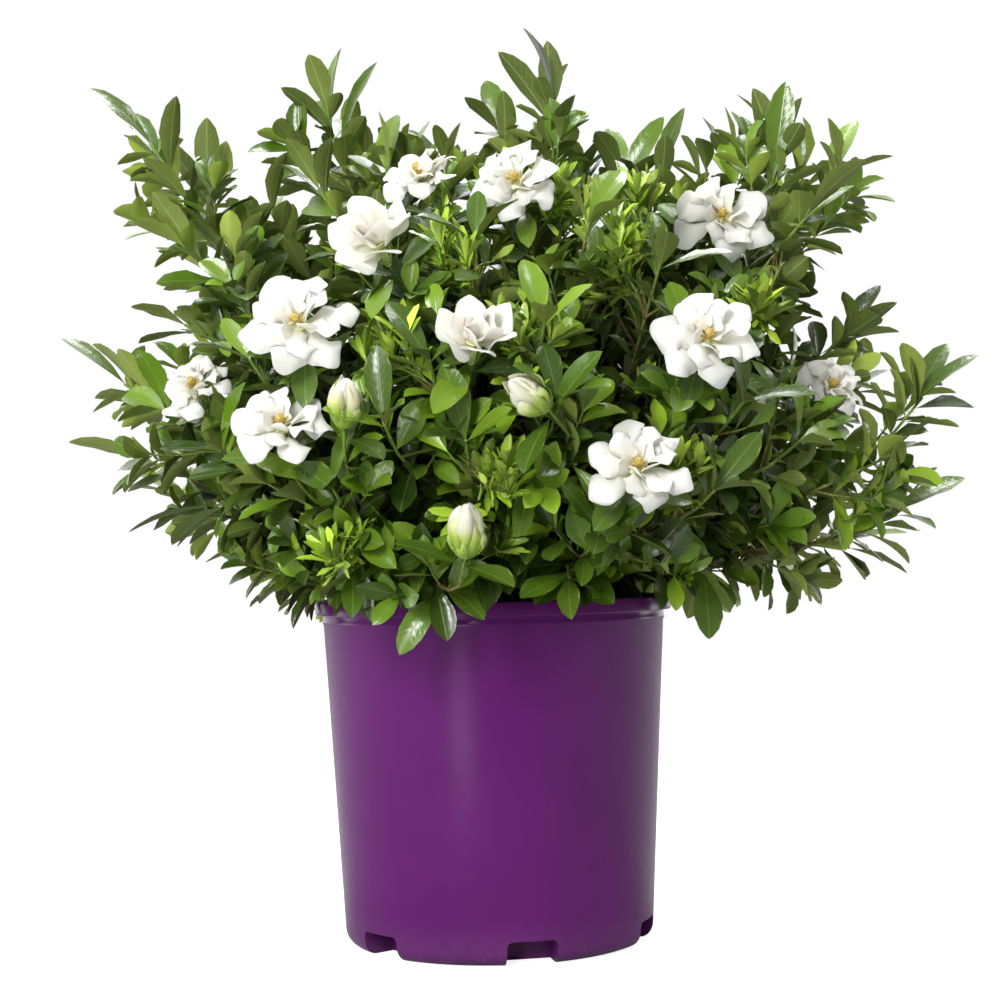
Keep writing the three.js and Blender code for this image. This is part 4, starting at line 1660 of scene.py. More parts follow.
@dataclass
class Clearance:
    """Keeps leaves and twigs off the pot and the flowers, and inside the canopy."""

    blooms: list[Bloom]
    bloom_reach: float = 0.5
    bloom_depth: float = 9.0
    bloom_height: float = 26.0
    sight_depth: float = 6.0
    sight_margin: float = 3.0
    pot_outside: float = 123.0
    pot_inside: float = 104.0
    over_soil: float = 7.0
    over_rim: float = 4.0
    skirt_radius: float = 128.0
    skirt: float = 26.0
    near_skirt: float = 4.0

    def is_free(self, points: Iterable[Vector], crown: float) -> bool:
        """Tells if something may grow through all the points.

        Args:
            points: Points along it.
            crown: How far out it may reach, as a share of the dome.

        Returns:
            True if it may.
        """
        return all(
            dome_share(p) <= crown and not self.in_pot(p) and not self._at_bloom(p) for p in points
        )

    def in_pot(self, p: Vector) -> bool:
        """Tells if a point is in the pot's wall or the soil, or below the canopy's skirt.

        Args:
            p: The point.

        Returns:
            True if it is.
        """
        radius = p.to_2d().length
        if radius < self.pot_outside:
            is_at_wall = radius > self.pot_inside and p.z < POT_HEIGHT + self.over_rim
            return p.z < SOIL_TOP + self.over_soil or is_at_wall
        return p.z < SOIL_TOP - (self.skirt if radius > self.skirt_radius else self.near_skirt)

    def _at_bloom(self, p: Vector) -> bool:
        """Tells if a point is in a flower, or hides it from the front.

        Args:
            p: The point.

        Returns:
            True if it is or does.
        """
        for bloom in self.blooms:
            away = p - bloom.middle
            height = away.dot(bloom.faces)
            radius = bloom.across * self.bloom_reach
            is_level = -self.bloom_depth < height < self.bloom_height
            if (away - bloom.faces * height).length < radius and is_level:
                return True
            if bloom.middle.y > 0 or bloom.is_veiled:
                continue
            sight = (bloom.middle - EYE).normalized()
            depth = away.dot(sight)
            off = (away - sight * depth).length
            if depth < self.sight_depth and off < radius + self.sight_margin:
                return True
        return False


# Dense young growth: in the front view, by turn and rise on the far side, and low at the back
TUFT_SPOTS: tuple[Spot, ...] = (
    (-25, 508), (-11, 461), (82, 477), (96, 457), (48, 506), (108, 491), (30, 402), (139, 305),
    (-66, 400), (-103, 260), (2, 309), (190, 420),
)
FAR_TUFTS: tuple[Spot, ...] = ((112, 38), (140, 62), (168, 24), (196, 56), (222, 30), (250, 44))
LOW_TUFTS: tuple[Spot, ...] = ((108, 234), (12, 236), (-114, 234))
LOW_TUFT_DEPTH = 112.0


@dataclass
class Foliage:
    """Grows wood and leaves, cane after cane. Its draws and its reach change from stem to stem."""

    blanks: LeafBlanks
    clear: Clearance
    growth: Growth = field(init=False)
    rng: random.Random = field(init=False)
    large: list[Blade] = field(default_factory=list, init=False)
    small: list[Blade] = field(default_factory=list, init=False)
    tufts: dict[int, list[Vector]] = field(default_factory=dict, init=False)
    crown: float = field(default=1.04, init=False)
    node_step: float = 12.0
    leafy_length: float = 230.0
    twig_length: tuple[float, float] = (24.0, 60.0)
    leaf_length: tuple[float, float] = (24.0, 40.0)
    tuft_share: float = 0.15
    tuft_twigs: int = 8
    filler_step: float = 15.0
    low_twigs: int = 5
    planned_length: float = 50.0
    trim: float = 0.86
    bare_end: float = 42.0
    inner_crown: float = 0.95
    leaf_crown: float = 1.04
    tuft_crown: float = 1.07
    tuft_end_crown: float = 1.03
    twig_margin: float = 0.07
    deep_share: float = 0.72
    cane_radii: Spot = (3.5, 2.45)
    foot_swell: float = 1.35
    shoot_radii: Spot = (1.45, 0.95)
    twig_radii: tuple[float, ...] = (0.9, 0.8, 0.7, 0.55)
    tuft_radii: tuple[float, ...] = (0.85, 0.75, 0.65, 0.5)

    def dress(self, growth: Growth, cane: Cane) -> None:
        """Adds a cane, its shoots, its twigs and all their leaves to a piece.

        Args:
            growth: The piece.
            cane: The cane.
        """
        self.growth, self.large, self.small = growth, [], []
        self._wood(cane)
        self._fill(cane)
        for shoot in cane.shoots:
            self.rng = random.Random(SHRUB_SEED * 1000 + shoot.number)
            radii = np.linspace(*self.shoot_radii, 8)
            youth = (0.1, 0.6 + 0.4 * self.rng.random())
            self.growth.tube(self.blanks.shoot, shoot.curve.rings(7), radii, youth)
            self._own_leaves(shoot)
            self._nodes(shoot)
            for place in self.tufts.get(shoot.number, ()):
                self._tuft(shoot, place)
        self.growth.blades(self.blanks.large, self.large)
        self.growth.blades(self.blanks.small, self.small)

    def _any(self, least: float, most: float) -> float:
        """Gives a number between two from the stem's own draws."""
        return self.rng.uniform(least, most)

    def plant_tufts(self, canes: Sequence[Cane]) -> None:
        """Gives each patch of dense young growth to the shoot that ends nearest to it.

        Args:
            canes: All canes, with their shoots.
        """
        shoots = [shoot for cane in canes for shoot in cane.shoots]
        places = [on_dome(spot) for spot in TUFT_SPOTS]
        places += [dome_at(turn, rise, 1.0) for turn, rise in FAR_TUFTS]
        places += [at_depth(spot, LOW_TUFT_DEPTH) for spot in LOW_TUFTS]
        for place in places:
            nearest = min(shoots, key=lambda shoot: (shoot.end - place).length)
            self.tufts.setdefault(nearest.number, []).append(place)

    def _tuft(self, shoot: Shoot, place: Vector) -> None:
        """Adds close young twigs from a shoot to a patch of the canopy's surface.

        Args:
            shoot: The shoot.
            place: The patch's middle.
        """
        self.crown = self.tuft_crown
        for _ in range(self.tuft_twigs):
            share = max(1 - self._any(12, 55) / shoot.curve.length, 0.3)
            root, axis = shoot.curve.point(share), shoot.curve.heading(share)
            away = bearing(self._any(0, 360), self._any(-40, 60)) * self._any(3, 25)
            end = place + away - shoot.outward * 14
            if not self.clear.is_free((end,), self.tuft_end_crown):
                continue
            last = (shoot.outward * 0.5 + UP * 0.8 + away / 40).normalized()
            length = (end - root).length
            curve = Bend(root, root + axis * length * 0.3, end - last * length * 0.35, end)
            self.growth.tube(self.blanks.twig, curve.rings(3), self.tuft_radii, (0.4, 1.0))
            back, turn = 2.0, self._any(0, math.tau)
            while back < min(24.0, curve.length * 0.6):
                share = 1 - back / curve.length
                at, way = curve.point(share), curve.heading(share)
                turn += math.radians(GOLDEN_TURN)
                out = square_at(way, turn)
                spread, reach = math.radians(self._any(30, 62)), self._any(10, 19)
                tip = at + leaning(way, out, spread) * reach
                if self.clear.is_free((tip,), self.crown):
                    youth = self._any(0.55, 0.9)
                    width = reach * self._any(0.24, 0.32)
                    self._grow(at, tip, way - out * 0.9, width, youth, True)
                back += self._any(1.8, 2.8)
            self._rosette(curve.point(0.99), curve.heading(0.99), True)

    def _fill(self, cane: Cane) -> None:
        """Adds leafy twigs along the cane itself, which close the inside of the canopy.

        Args:
            cane: The cane.
        """
        self.rng = random.Random(SHRUB_SEED * 7 + int(cane.base.x * 10) + int(cane.base.y))
        self.crown = self.inner_crown
        back, turn = 4.0, self._any(0, math.tau)
        while back < cane.curve.length * 0.86:
            share = 1 - back / cane.curve.length
            root, axis = cane.curve.point(share), cane.curve.heading(share)
            turn += math.radians(GOLDEN_TURN)
            out = square_at(axis, turn, bearing(20, 3))
            self._twig(cane.heading, root, axis, out, 1.7 if share < 0.5 else 1.0)
            back += self.filler_step * self._any(0.7, 1.2)
        for _ in range(self.low_twigs):
            way = square_at(UP, math.radians(self._any(-70, 70)), cane.heading)
            self._twig(way, cane.curve.point(self._any(0.14, 0.36)), way, way, 2.2)

    def _wood(self, cane: Cane) -> None:
        """Adds the cane itself, a little knotty, from under the soil to its fork.

        Args:
            cane: The cane.
        """
        rings = cane.curve.rings(10)
        rings.insert(0, (cane.base - UP * 12, UP.copy()))
        swell = [0.94 + 0.14 * draw(41, i, int(cane.base.x)) for i in range(12)]
        radii = [r * s for r, s in zip(np.linspace(*self.cane_radii, 12), swell)]
        radii[0] *= self.foot_swell
        self.growth.tube(self.blanks.cane, rings, radii, (0.0, 0.2))

    def _own_leaves(self, shoot: Shoot) -> None:
        """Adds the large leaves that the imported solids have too.

        Args:
            shoot: The shoot that carries them.
        """
        n = shoot.number
        if shoot.tips:
            for i, tip in enumerate(shoot.tips):
                root = on_stem(shoot.rings, 1 - 0.045 * i - 0.01)
                side = shoot.outward.cross(UP).normalized()
                face = UP + shoot.outward * 0.35 + side * (draw(2, n, i) - 0.5) * 1.8
                self.large.append(self._planned_leaf(root, tip, face, n, i))
            return
        start = 1 - 9 / shoot.curve.length if shoot.bloom else 0.985
        root = on_stem(shoot.rings, start)
        axis = shoot.curve.heading(start)
        for i in range(3):
            turn = math.tau * (draw(3, n) + (i + 0.3 * (draw(4, n, i) - 0.5)) / 3)
            out = square_at(axis, turn)
            spread = math.radians(78 if shoot.bloom else 40 + 22 * draw(5, n, i))
            length = self.planned_length * (0.8 + 0.3 * draw(6, n, i))
            tip = root + leaning(axis, out, spread) * length * self.trim
            blade = self._planned_leaf(root, tip, axis - out * 0.8, n, i)
            if not self.clear.in_pot(tip) and not self.clear.in_pot((root + tip) / 2):
                self.large.append(blade)

    @staticmethod
    def _planned_leaf(root: Vector, tip: Vector, face: Vector, n: int, i: int) -> Blade:
        """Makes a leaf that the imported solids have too.

        Args:
            root: Where it leaves the shoot.
            tip: Where it ends.
            face: The way its upper side looks.
            n: The shoot's number.
            i: The leaf's number on the shoot.

        Returns:
            The leaf.
        """
        length = (tip - root).length
        forward = (tip - root).normalized()
        bow = square_to(face, forward) * length * (0.05 + 0.1 * draw(7, n, i))
        width = min(17.5, length * 0.38) * (0.85 + 0.25 * draw(8, n, i))
        return Blade(
            root, tip, bow, face, width, 0.5, 0.2 + 0.2 * draw(61, n, i), 0.7, 1.6 + draw(42, n, i),
            math.tau * draw(43, n, i), youth=0.22 + 0.3 * draw(44, n, i), shade=draw(45, n, i),
        )

    def _nodes(self, shoot: Shoot) -> None:
        """Adds pairs of leaves along a shoot's outer part, and twigs that leave it there.

        Args:
            shoot: The shoot.
        """
        curve = shoot.curve
        reach = min(self.leafy_length, curve.length * 0.88)
        back = 14.0 if shoot.bloom else 8.0
        self.crown = self.leaf_crown
        if shoot.tips:
            self.crown = max(self.crown, *(dome_share(tip) for tip in shoot.tips))
        turn = self._any(0, math.tau)
        count = 0
        bare_end = self.bare_end if shoot.tips else 13.0
        while back < reach:
            share = 1 - back / curve.length
            root, axis = curve.point(share), curve.heading(share)
            turn += math.radians(GOLDEN_TURN) if count % 2 else math.pi / 2
            out = square_at(axis, turn)
            if count % 2 == 0 and back > bare_end:
                self._twig(shoot.outward, root, axis, out)
                self._leaf(root, axis, -out, 0.0)
            else:
                self._leaf(root, axis, out, 0.0)
                self._leaf(root, axis, -out, 0.0)
            back += self.node_step * self._any(0.8, 1.2)
            count += 1

    def _twig(
        self, outward: Vector, root: Vector, axis: Vector, out: Vector, vigour: float = 1.0,
    ) -> None:
        """Adds a twig with its leaves, if there is room for it.

        Args:
            outward: The way out of the canopy.
            root: Where it leaves its stem.
            axis: The stem's heading there.
            out: The side of the stem that it leaves from.
            vigour: How much longer than usual it may be.
        """
        heading = (axis * 0.6 + out * 0.85 + outward * 0.35 + UP * 0.15).normalized()
        for length in (self._any(*self.twig_length) * vigour, self.twig_length[0] * 0.8):
            end = root + heading * length + UP * length * 0.12
            if self.clear.is_free((root.lerp(end, 0.5), end), self.crown - self.twig_margin):
                break
        else:
            return
        last = (heading + UP * 0.35).normalized()
        curve = Bend(root, root + heading * length * 0.35, end - last * length * 0.3, end)
        youth = (self._any(0.3, 0.6), self._any(0.7, 1.0))
        self.growth.tube(self.blanks.twig, curve.rings(3), self.twig_radii, youth)
        back, turn = 8.0, self._any(0, math.tau)
        while back < length * 0.72:
            share = 1 - back / curve.length
            at, way = curve.point(share), curve.heading(share)
            turn += math.pi / 2
            side = square_at(way, turn)
            self._leaf(at, way, side, 0.08)
            self._leaf(at, way, -side, 0.08)
            back += self._any(8.0, 12.0)
        self._rosette(curve.point(0.99), curve.heading(0.99))

    def _rosette(self, root: Vector, axis: Vector, is_tuft: bool = False) -> None:
        """Adds the young leaves at a twig's end, sometimes as a dense tuft.

        Args:
            root: The twig's end.
            axis: Its heading there.
            is_tuft: If it is a tuft in any case.
        """
        is_tuft = is_tuft or self.rng.random() < self.tuft_share
        count = self.rng.randint(10, 15) if is_tuft else self.rng.randint(4, 6)
        turn = self._any(0, math.tau)
        for i in range(count):
            out = square_at(axis, turn + i * math.radians(GOLDEN_TURN))
            if is_tuft:
                spread, length = math.radians(self._any(8, 58)), self._any(14, 27)
                width, youth = length * self._any(0.2, 0.28), self._any(0.6, 0.95)
            else:
                spread, length = math.radians(self._any(22, 60)), self._any(18, 34)
                width, youth = length * self._any(0.4, 0.5), self._any(0.25, 0.7)
            tip = root + leaning(axis, out, spread) * length
            if self.clear.is_free((root.lerp(tip, 0.5), tip), self.crown):
                self._grow(root, tip, axis - out * 0.9, width, youth, is_tuft)

    def _leaf(self, root: Vector, axis: Vector, out: Vector, youth: float) -> None:
        """Adds a leaf at a node, if there is room for it.

        Args:
            root: The node.
            axis: The stem's heading there.
            out: The side that it leaves from.
            youth: How much younger it is than its place would say.
        """
        length = self._any(*self.leaf_length)
        spread = math.radians(self._any(42, 72))
        tip = root + leaning(axis, out, spread) * length + UP * self._any(-4, 4)
        if not self.clear.is_free((root.lerp(tip, 0.5), tip), self.crown):
            return
        outward = (root - CROWN).normalized()
        face = axis * 0.6 - out * 0.5 + UP * 0.6 + outward * 0.3
        face += bearing(self._any(0, 360), self._any(-20, 60)) * self._any(0.2, 1.3)
        height = min(max((dome_share(root) - 0.6) / 0.4, 0.0), 1.0)
        age = 0.08 + 0.26 * height + youth + self._any(-0.06, 0.14)
        age += 0.3 if self.rng.random() < 0.12 * height else 0.0
        self._grow(root, tip, face, length * self._any(0.38, 0.48), age, False)

    def _grow(
        self, root: Vector, tip: Vector, face: Vector, width: float, youth: float, is_small: bool,
    ) -> None:
        """Adds a leaf, with few faces if it is small or deep in the canopy.

        Args:
            root: Where it leaves its stem.
            tip: Where it ends.
            face: The way its upper side looks.
            width: Its width.
            youth: How young it is, from 0 to 1.
            is_small: If it is small.
        """
        length = (tip - root).length
        forward = (tip - root).normalized()
        bow = square_to(face, forward) * length * self._any(0.02, 0.14)
        fold, wave, waves = self._any(0.15, 0.6), self._any(0.2, 0.9), self._any(1.4, 2.6)
        phase = self._any(0, math.tau)
        blade = Blade(
            root, tip, bow, face, width, 0.45, fold, wave, waves, phase, youth=youth,
            shade=self.rng.random(), sway=length * 0.05 * math.sin(5 * phase),
        )
        is_deep = dome_share(root) < self.deep_share
        (self.small if is_small or is_deep else self.large).append(blade)


# Flowers

# From the tip to the root, as for the leaves
PETAL_OUTLINE = (
    (1.0, 0.0), (0.99, 0.12), (0.97, 0.25), (0.94, 0.4), (0.9, 0.56), (0.845, 0.72), (0.78, 0.87),
    (0.705, 0.97), (0.62, 1.0), (0.53, 0.94), (0.43, 0.79), (0.32, 0.59), (0.21, 0.42), (0.1, 0.31),
    (0.0, 0.0),
)
SEPAL_OUTLINE = ((1.0, 0.0), (0.8, 0.35), (0.5, 0.8), (0.2, 1.0), (0.0, 0.0))
SEPALS = 6
ANTHERS = 6


@dataclass(frozen=True)
class PetalRing:
    """A ring of petals. Reach, rise, bow and width are shares of the flower's radius."""

    count: int
    root: float
    depth: float
    reach: float
    rise: float
    bow: float
    width: float
    turn: float
    twist: float
    roll: float = 0.0
    wave: float = 1.0


PETAL_RINGS = {
    Form.OPEN: (
        PetalRing(6, 1.3, 7, 1.02, -0.06, 0.3, 0.6, 30, 0.35, 28.0, 3.4),
        PetalRing(6, 2.2, 3, 0.74, 0.2, 0.16, 0.45, 0, 0.5, 17.0, 3.0),
        PetalRing(5, 2.0, 2, 0.36, 0.4, -0.12, 0.34, 20, 0.7, 3.0, 1.3),
    ),
    Form.CUP: (
        PetalRing(6, 1.0, 7, 0.82, 0.44, -0.12, 0.68, 30, 0.3, 20.0, 2.4),
        PetalRing(5, 2.0, 2, 0.46, 0.66, -0.2, 0.56, 0, 0.5, 8.0, 1.6),
        PetalRing(4, 1.0, 0, 0.2, 0.72, -0.18, 0.44, 40, 0.7, 0.0, 0.8),
    ),
}


@dataclass(frozen=True)
class BudWrap:
    """A layer of petals round a bud, in shares of the bud's half length and of its radius."""

    count: int
    turn: float
    low: float
    high: float
    parting: float
    bow: float
    width: float


# A bud's heart is wound into a spiral of ridges
BUD_RIDGES, RIDGE_TWIST, RIDGE_HEIGHT, BUD_WIND = 3, 1.5, 0.22, 1.2
INNER_WRAP = BudWrap(5, 0, 0.74, 1.1, 0.2, 1.34, 1.2)
OUTER_WRAP = BudWrap(4, 62, 0.1, 0.86, 0.62, 1.2, 1.12)


@dataclass
class FlowerBlanks:
    """The blanks of the flowers, each made once."""

    petal: Blank = field(default_factory=lambda: blade_blank("petal", 16, PETAL_OUTLINE, (0, 0)))
    outer: Blank = field(default_factory=lambda: blade_blank("outer", 16, PETAL_OUTLINE, (2, 2)))
    sepal: Blank = field(default_factory=lambda: blade_blank("sepal", 4, SEPAL_OUTLINE, (1, 1)))
    anther: Blank = field(default_factory=lambda: blade_blank("anther", 8, SEPAL_OUTLINE, (0, 0)))
    throat: Blank = field(default_factory=lambda: tube_blank("throat", 16, 9))
    club: Blank = field(default_factory=lambda: tube_blank("club", 12, 8))


def radial(turn: float) -> Vector:
    """Gives the direction square to a flower's own axis at a turn, in degrees."""
    angle = math.radians(turn)
    return Vector((math.sin(angle), 0, math.cos(angle)))


@dataclass
class Flower:
    """Builds one flower in the place of its solids. Its own axis is +Y."""

    bloom: Bloom
    blanks: FlowerBlanks
    palette: Palette
    AXIS: ClassVar[Vector] = Vector((0, 1, 0))

    def _turned(self, p: Vector) -> Vector:
        """Turns a direction from the flower's own frame to the shrub's."""
        return self.AXIS.rotation_difference(self.bloom.faces) @ p

    def _placed(self, p: Vector) -> Vector:
        """Takes a point from the flower's own frame to the shrub's."""
        return self.bloom.middle + self._turned(p)

    def _blade(
        self, root: Vector, tip: Vector, bow: Vector, face: Vector, width: float, *form: float,
        **more: float,
    ) -> Blade:
        """Makes a blade whose places and directions are given in the flower's own frame."""
        places = self._placed(root), self._placed(tip), self._turned(bow), self._turned(face)
        return Blade(*places, width, *form, **more)

    def _petals(self, ring: PetalRing) -> list[Blade]:
        """Makes a ring of petals, each with its own small turn and length.

        Args:
            ring: The ring.

        Returns:
            The petals.
        """
        n, radius, axis = self.bloom.number, self.bloom.across / 2, self.AXIS
        blades = []
        for i in range(ring.count):
            keys = (9, 46, 10, 62, 47, 48, 49, 50, 71)
            jitter, loose, reach, trim, wave, waves, phase, curl, sway = (
                draw(key, n, i, ring.count) for key in keys
            )
            jitter, loose = jitter - 0.5, loose - 0.5
            out = radial(ring.turn + (i + 0.08 * jitter) * 360 / ring.count + 14 * loose)
            root = out * ring.root - axis * ring.depth
            length = ring.reach * radius * (0.95 + 0.1 * reach) * (1 - 0.14 * trim)
            tip = out * length + axis * radius * (ring.rise + 0.2 * jitter)
            face = axis - out * ring.rise + axis.cross(out) * ring.twist * (1 + loose)
            blades.append(
                self._blade(
                    root, tip, axis * radius * ring.bow * (1 + 0.5 * loose), face,
                    ring.width * radius * (1 + 0.16 * loose), 0.8, 0.1 + 0.2 * loose,
                    ring.wave * (0.6 + 0.8 * wave), 1.1 + 0.8 * waves, math.tau * phase,
                    -0.1 - 0.25 * curl, ring.roll * (0.5 + loose),
                    sway=length * 0.3 * (sway - 0.5), ruffle=0.12,
                )
            )
        return blades

    def _axis_rings(self, heights: Sequence[float]) -> Rings:
        """Gives rings along the flower's axis."""
        return [(self._placed(self.AXIS * h), self.bloom.faces.copy()) for h in heights]

    def _sepals(self, at: float, length: float, spread: float, width: float) -> list[Blade]:
        """Makes the green sepals that hold the tube.

        Args:
            at: Where they start on the axis.
            length: Their mean length.
            spread: How far out they lean, as a share of their length.
            width: Their width.

        Returns:
            The sepals.
        """
        blades = []
        for i in range(SEPALS):
            out = radial(i * 360 / SEPALS + 20 * draw(51, self.bloom.number, i))
            root = out * 1.6 + self.AXIS * at
            reach = length * (0.8 + 0.4 * draw(52, self.bloom.number, i))
            tip = out * (1.6 + reach * spread) + self.AXIS * (at + reach)
            bow = out * reach * 0.16
            blades.append(self._blade(root, tip, bow, -out, width, 0.7, 0.25, youth=0.6))
        return blades

    def corolla(self) -> None:
        """Makes the tube, the petals and the sepals."""
        growth = Growth(f"gardenia_corolla_{self.bloom.number:02d}")
        heights = (-TUBE_LENGTH, -17.0, -13.0, -9.5, -6.5, -4.2, -2.4, -1.0, 0.0)
        radii = (2.0, 2.2, 2.3, 2.5, 2.9, 3.5, 4.3, 5.2, 6.0)
        growth.tube(self.blanks.throat, self._axis_rings(heights), radii, (0.5, 0.5))
        for ring in PETAL_RINGS[self.bloom.form]:
            growth.blades(self.blanks.petal, self._petals(ring))
        growth.blades(self.blanks.sepal, self._sepals(-TUBE_LENGTH, 15.0, 0.28, 2.6))
        piece = growth.build([self.palette.petal, self.palette.sepal])
        settle(piece, "petals", f"corolla_{self.bloom.number:02d}")

    def centre(self) -> None:
        """Makes the golden stigma with the anthers around it."""
        growth = Growth(f"gardenia_centre_{self.bloom.number:02d}")
        heights = (-2.0, 1.5, 3.4, 4.8, 6.2, 7.6, 8.7, 9.3)
        radii = (1.1, 1.3, 1.7, 2.3, 2.6, 2.4, 1.6, 0.5)
        growth.tube(self.blanks.club, self._axis_rings(heights), radii, (0.5, 0.5))
        anthers = []
        for i in range(ANTHERS):
            out = radial(i * 360 / ANTHERS + 12 * draw(53, self.bloom.number, i))
            root, tip = out * 1.6 + self.AXIS * 1.4, out * 5.4 + self.AXIS * 5.0
            anthers.append(self._blade(root, tip, self.AXIS, self.AXIS, 1.7, 1.2, 0.0))
        growth.blades(self.blanks.anther, anthers)
        piece = growth.build([self.palette.stigma])
        settle(piece, "stigma", f"centre_{self.bloom.number:02d}")

    def bud(self) -> None:
        """Makes a bud: petals furled round each other, held by sepals."""
        length, radius = self.bloom.across * BUD_SLENDERNESS, self.bloom.across / 2 * BUD_FURL
        bm = bmesh.new()
        bmesh.ops.create_uvsphere(bm, u_segments=40, v_segments=24, radius=1.0)
        layer = bm.loops.layers.uv.new("leaf")
        for face in bm.faces:
            face.smooth = True
            for loop in face.loops:
                t = (loop.vert.co.z + 1) / 2
                loop[layer].uv = (math.atan2(loop.vert.co.y, loop.vert.co.x) / math.tau + 0.5, t)
        for vert in bm.verts:
            t = (vert.co.z + 1) / 2
            turn = math.atan2(vert.co.y, vert.co.x)
            furl = turn * BUD_RIDGES / math.tau + RIDGE_TWIST * t + draw(54, self.bloom.number)
            ridge = 1 + RIDGE_HEIGHT * (furl % 1.0 - 0.5) * min(1.0, 2.4 * t)
            girth = radius * (0.98 - 0.3 * t) * math.hypot(vert.co.x, vert.co.y) * ridge
            wound = turn + BUD_WIND * t
            height = vert.co.z * length / 2
            own = Vector((girth * math.cos(wound), height, -girth * math.sin(wound)))
            vert.co = self._placed(own) * MM
        mesh = baked(f"bud_{self.bloom.number:02d}_petals", bm)
        mesh.materials.append(self.palette.bud_petal)
        heart = put(f"gardenia_bud_{self.bloom.number:02d}", mesh)
        settle(heart, "bud_skin", f"bud_{self.bloom.number:02d}")
        growth = Growth(f"gardenia_bud_petals_{self.bloom.number:02d}")
        growth.blades(self.blanks.petal, self._furled_petals(INNER_WRAP, length, radius))
        growth.blades(self.blanks.outer, self._furled_petals(OUTER_WRAP, length, radius))
        growth.blades(self.blanks.sepal, self._hugging_sepals(length, radius))
        finishes = [self.palette.bud_petal, self.palette.sepal, self.palette.outer_petal]
        settle(growth.build(finishes), "bud_skin")

    def _furled_petals(self, wrap: BudWrap, length: float, radius: float) -> list[Blade]:
        """Makes a layer of petals that wrap round a bud, each with one edge over the next.

        Args:
            wrap: The layer.
            length: The bud's length.
            radius: The bud's radius.

        Returns:
            The petals.
        """
        n, axis = self.bloom.number, self.AXIS
        blades = []
        for i in range(wrap.count):
            out = radial(wrap.turn + (i + 0.3 * draw(57, n, i)) * 360 / wrap.count)
            share = draw(58, n, i, wrap.count)
            top = length / 2 * (wrap.low + (wrap.high - wrap.low) * share)
            root = out * radius * 0.2 - axis * (length / 2 - 0.8)
            tip = out * radius * (wrap.parting + 0.35 * draw(59, n, i)) + axis * top
            blades.append(
                self._blade(
                    root, tip, out * radius * wrap.bow, out + axis.cross(out) * 0.4,
                    radius * wrap.width, 0.7, -0.1, 0.9, 1.4, math.tau * draw(60, n, i), -0.5,
                    ruffle=0.14,
                )
            )
        return blades

    def _hugging_sepals(self, length: float, radius: float) -> list[Blade]:
        """Makes sepals that lie against a bud.

        Args:
            length: The bud's length.
            radius: The bud's radius.

        Returns:
            The sepals.
        """
        blades = []
        for i in range(SEPALS):
            out = radial(i * 360 / SEPALS + 15 * draw(55, self.bloom.number, i))
            root = out * 1.5 + self.AXIS * (-length / 2 - 0.5)
            rise = length * (0.34 + 0.25 * draw(56, self.bloom.number, i))
            tip = out * radius * 1.24 + self.AXIS * (-length / 2 + rise)
            blades.append(self._blade(root, tip, out * radius * 0.42, -out, 3.8, 0.8, 0.2))
        return blades


# Studio


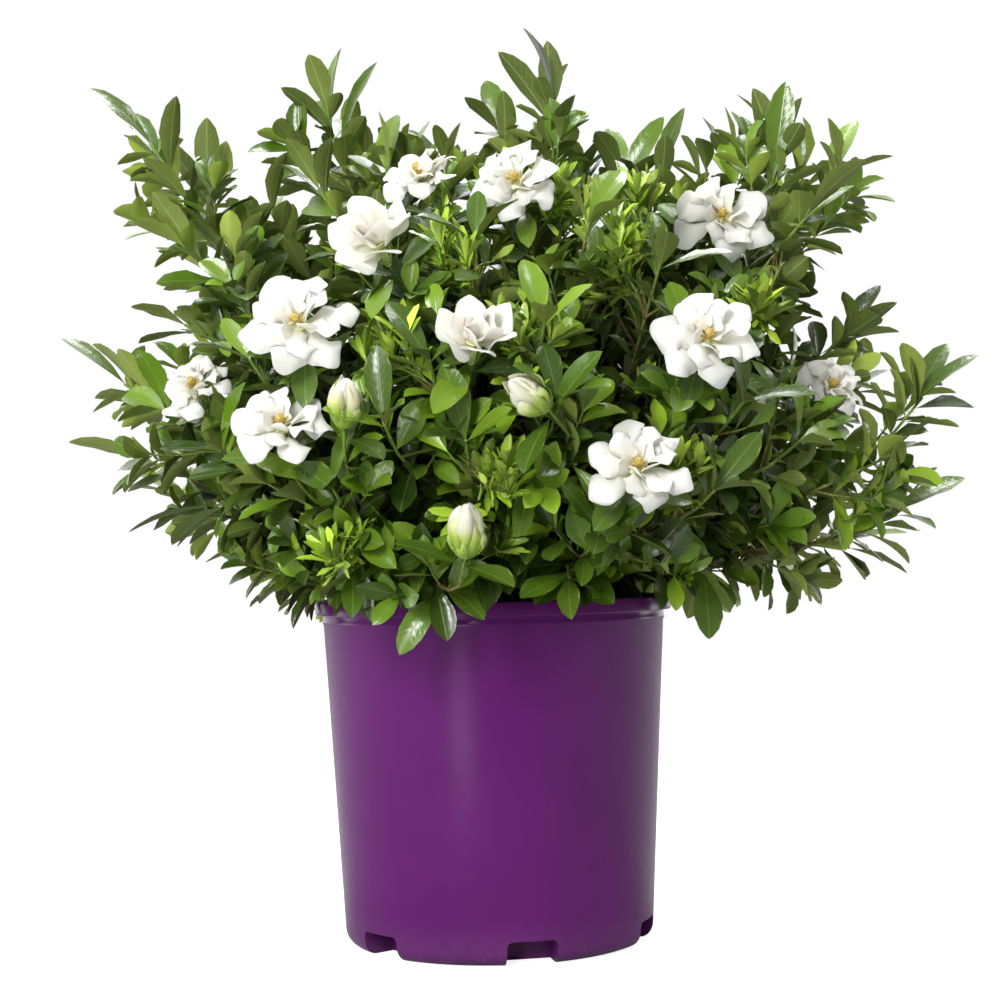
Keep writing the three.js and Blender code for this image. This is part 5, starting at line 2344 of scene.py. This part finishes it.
@dataclass(frozen=True)
class Studio:
    """A pale floor, soft light and the camera at the photograph's view.

    The surround is dark on the camera's side and white behind, as in a studio with a lit backdrop.
    """

    palette: Palette
    focal: float = 70.27
    pitch: float = 1.48
    roll: float = -1.2
    front: float = 0.29
    back: float = 1.45

    def camera(self) -> None:
        """Sets the camera."""
        data = bpy.data.cameras.new("camera")
        data.lens = self.focal
        data.sensor_width = 36.0
        data.clip_end = 20.0
        camera = put("camera", data)
        pitch = Matrix.Rotation(math.radians(90 + self.pitch), 4, "X")
        roll = Matrix.Rotation(math.radians(self.roll), 4, "Z")
        camera.matrix_world = Matrix.Translation(EYE * MM) @ pitch @ roll
        bpy.context.scene.camera = camera

    def floor(self) -> None:
        """Lays the floor."""
        bm = bmesh.new()
        reach = Matrix.Translation((0, 1.7, 0)) @ Matrix.Diagonal((2.4, 2.0, 1, 1))
        bmesh.ops.create_grid(bm, x_segments=1, y_segments=1, size=1.0, matrix=reach)
        mesh = baked("studio_floor", bm)
        mesh.materials.append(self.palette.floor)
        put("studio_floor", mesh)

    def lamp(
        self, name: str, turn: float, rise: float, away: float, size: Spot, power: float
    ) -> None:
        """Sets a softbox that looks at the shrub.

        Args:
            name: The lamp's name.
            turn: Degrees from the front.
            rise: Degrees above the horizon.
            away: Distance in metres.
            size: Width and height in metres.
            power: Watts.
        """
        data = bpy.data.lights.new(name, "AREA")
        data.shape = "RECTANGLE"
        data.size, data.size_y = size
        data.energy = power
        target = Vector((0, 0, 0.3))
        way = bearing(turn, rise)
        lamp = put(name, data)
        look = (-way).to_track_quat("-Z", "Y").to_matrix().to_4x4()
        lamp.matrix_world = Matrix.Translation(target + way * away) @ look

    def light(self) -> None:
        """Sets the lamps and the surround."""
        world = bpy.data.worlds.new("white surround")
        world.use_nodes = True
        tree = world.node_tree
        way = add_node(tree, "TexCoord").outputs["Generated"]
        depth = add_node(tree, "SeparateXYZ", {}, {0: way})
        surround = add_node(
            tree, "MapRange", {},
            {
                "Value": depth.outputs["Y"], "From Min": 0.0, "From Max": 0.9,
                "To Min": self.front, "To Max": self.back,
            },
        )
        is_seen = add_node(tree, "LightPath").outputs["Is Camera Ray"]
        strength = add_node(tree, "Mix", {}, {0: is_seen, 2: surround, 3: 1.0})
        background = tree.nodes["Background"]
        feed(tree, background, {"Color": to_linear("ffffff"), "Strength": strength})
        bpy.context.scene.world = world
        self.lamp("key softbox", -20, 24, 2.2, (0.45, 1.0), 38.0)
        self.lamp("strip light", -24, -13, 2.2, (0.4, 1.8), 16.0)
        self.lamp("left strip light", -112, -4, 1.6, (0.5, 1.2), 6.0)
        self.lamp("right strip light", 118, -4, 1.6, (0.4, 1.2), 5.0)
        self.lamp("left softbox", -55, 32, 2.2, (0.8, 1.2), 11.0)
        self.lamp("right softbox", 60, 58, 2.0, (0.5, 0.5), 10.0)
        self.lamp("top softbox", 175, 70, 2.0, (0.8, 0.8), 24.0)
        bpy.context.scene.view_settings.view_transform = "Standard"


def main() -> None:
    """Builds the object and the studio, and logs the number of leaves."""
    logging.basicConfig(level=logging.INFO, format="%(message)s")
    palette = Palette()
    studio = Studio(palette)
    studio.camera()
    canes = ShrubPlan().canes()
    blooms = sorted(
        (shoot.bloom for cane in canes for shoot in cane.shoots if shoot.bloom),
        key=lambda bloom: bloom.number,
    )
    NurseryPot(palette).build()
    PottingMix(palette).build()
    foliage = Foliage(LeafBlanks(), Clearance(blooms))
    foliage.plant_tufts(canes)
    leaves = 0
    for number, cane in enumerate(canes, 1):
        growth = Growth(f"gardenia_cane_{number:02d}")
        foliage.dress(growth, cane)
        piece = growth.build([palette.bark, palette.leaf_top, palette.leaf_under])
        settle(piece, "foliage", f"leafy_cane_{number:02d}")
        leaves += len(foliage.large) + len(foliage.small)
    LOG.info("leaves: %d", leaves)
    flower_blanks = FlowerBlanks()
    for bloom in blooms:
        flower = Flower(bloom, flower_blanks, palette)
        if bloom.form is Form.BUD:
            flower.bud()
            continue
        flower.corolla()
        if bloom.form is Form.OPEN:
            flower.centre()
    studio.floor()
    studio.light()
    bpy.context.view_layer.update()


if __name__ == "__main__":
    main()
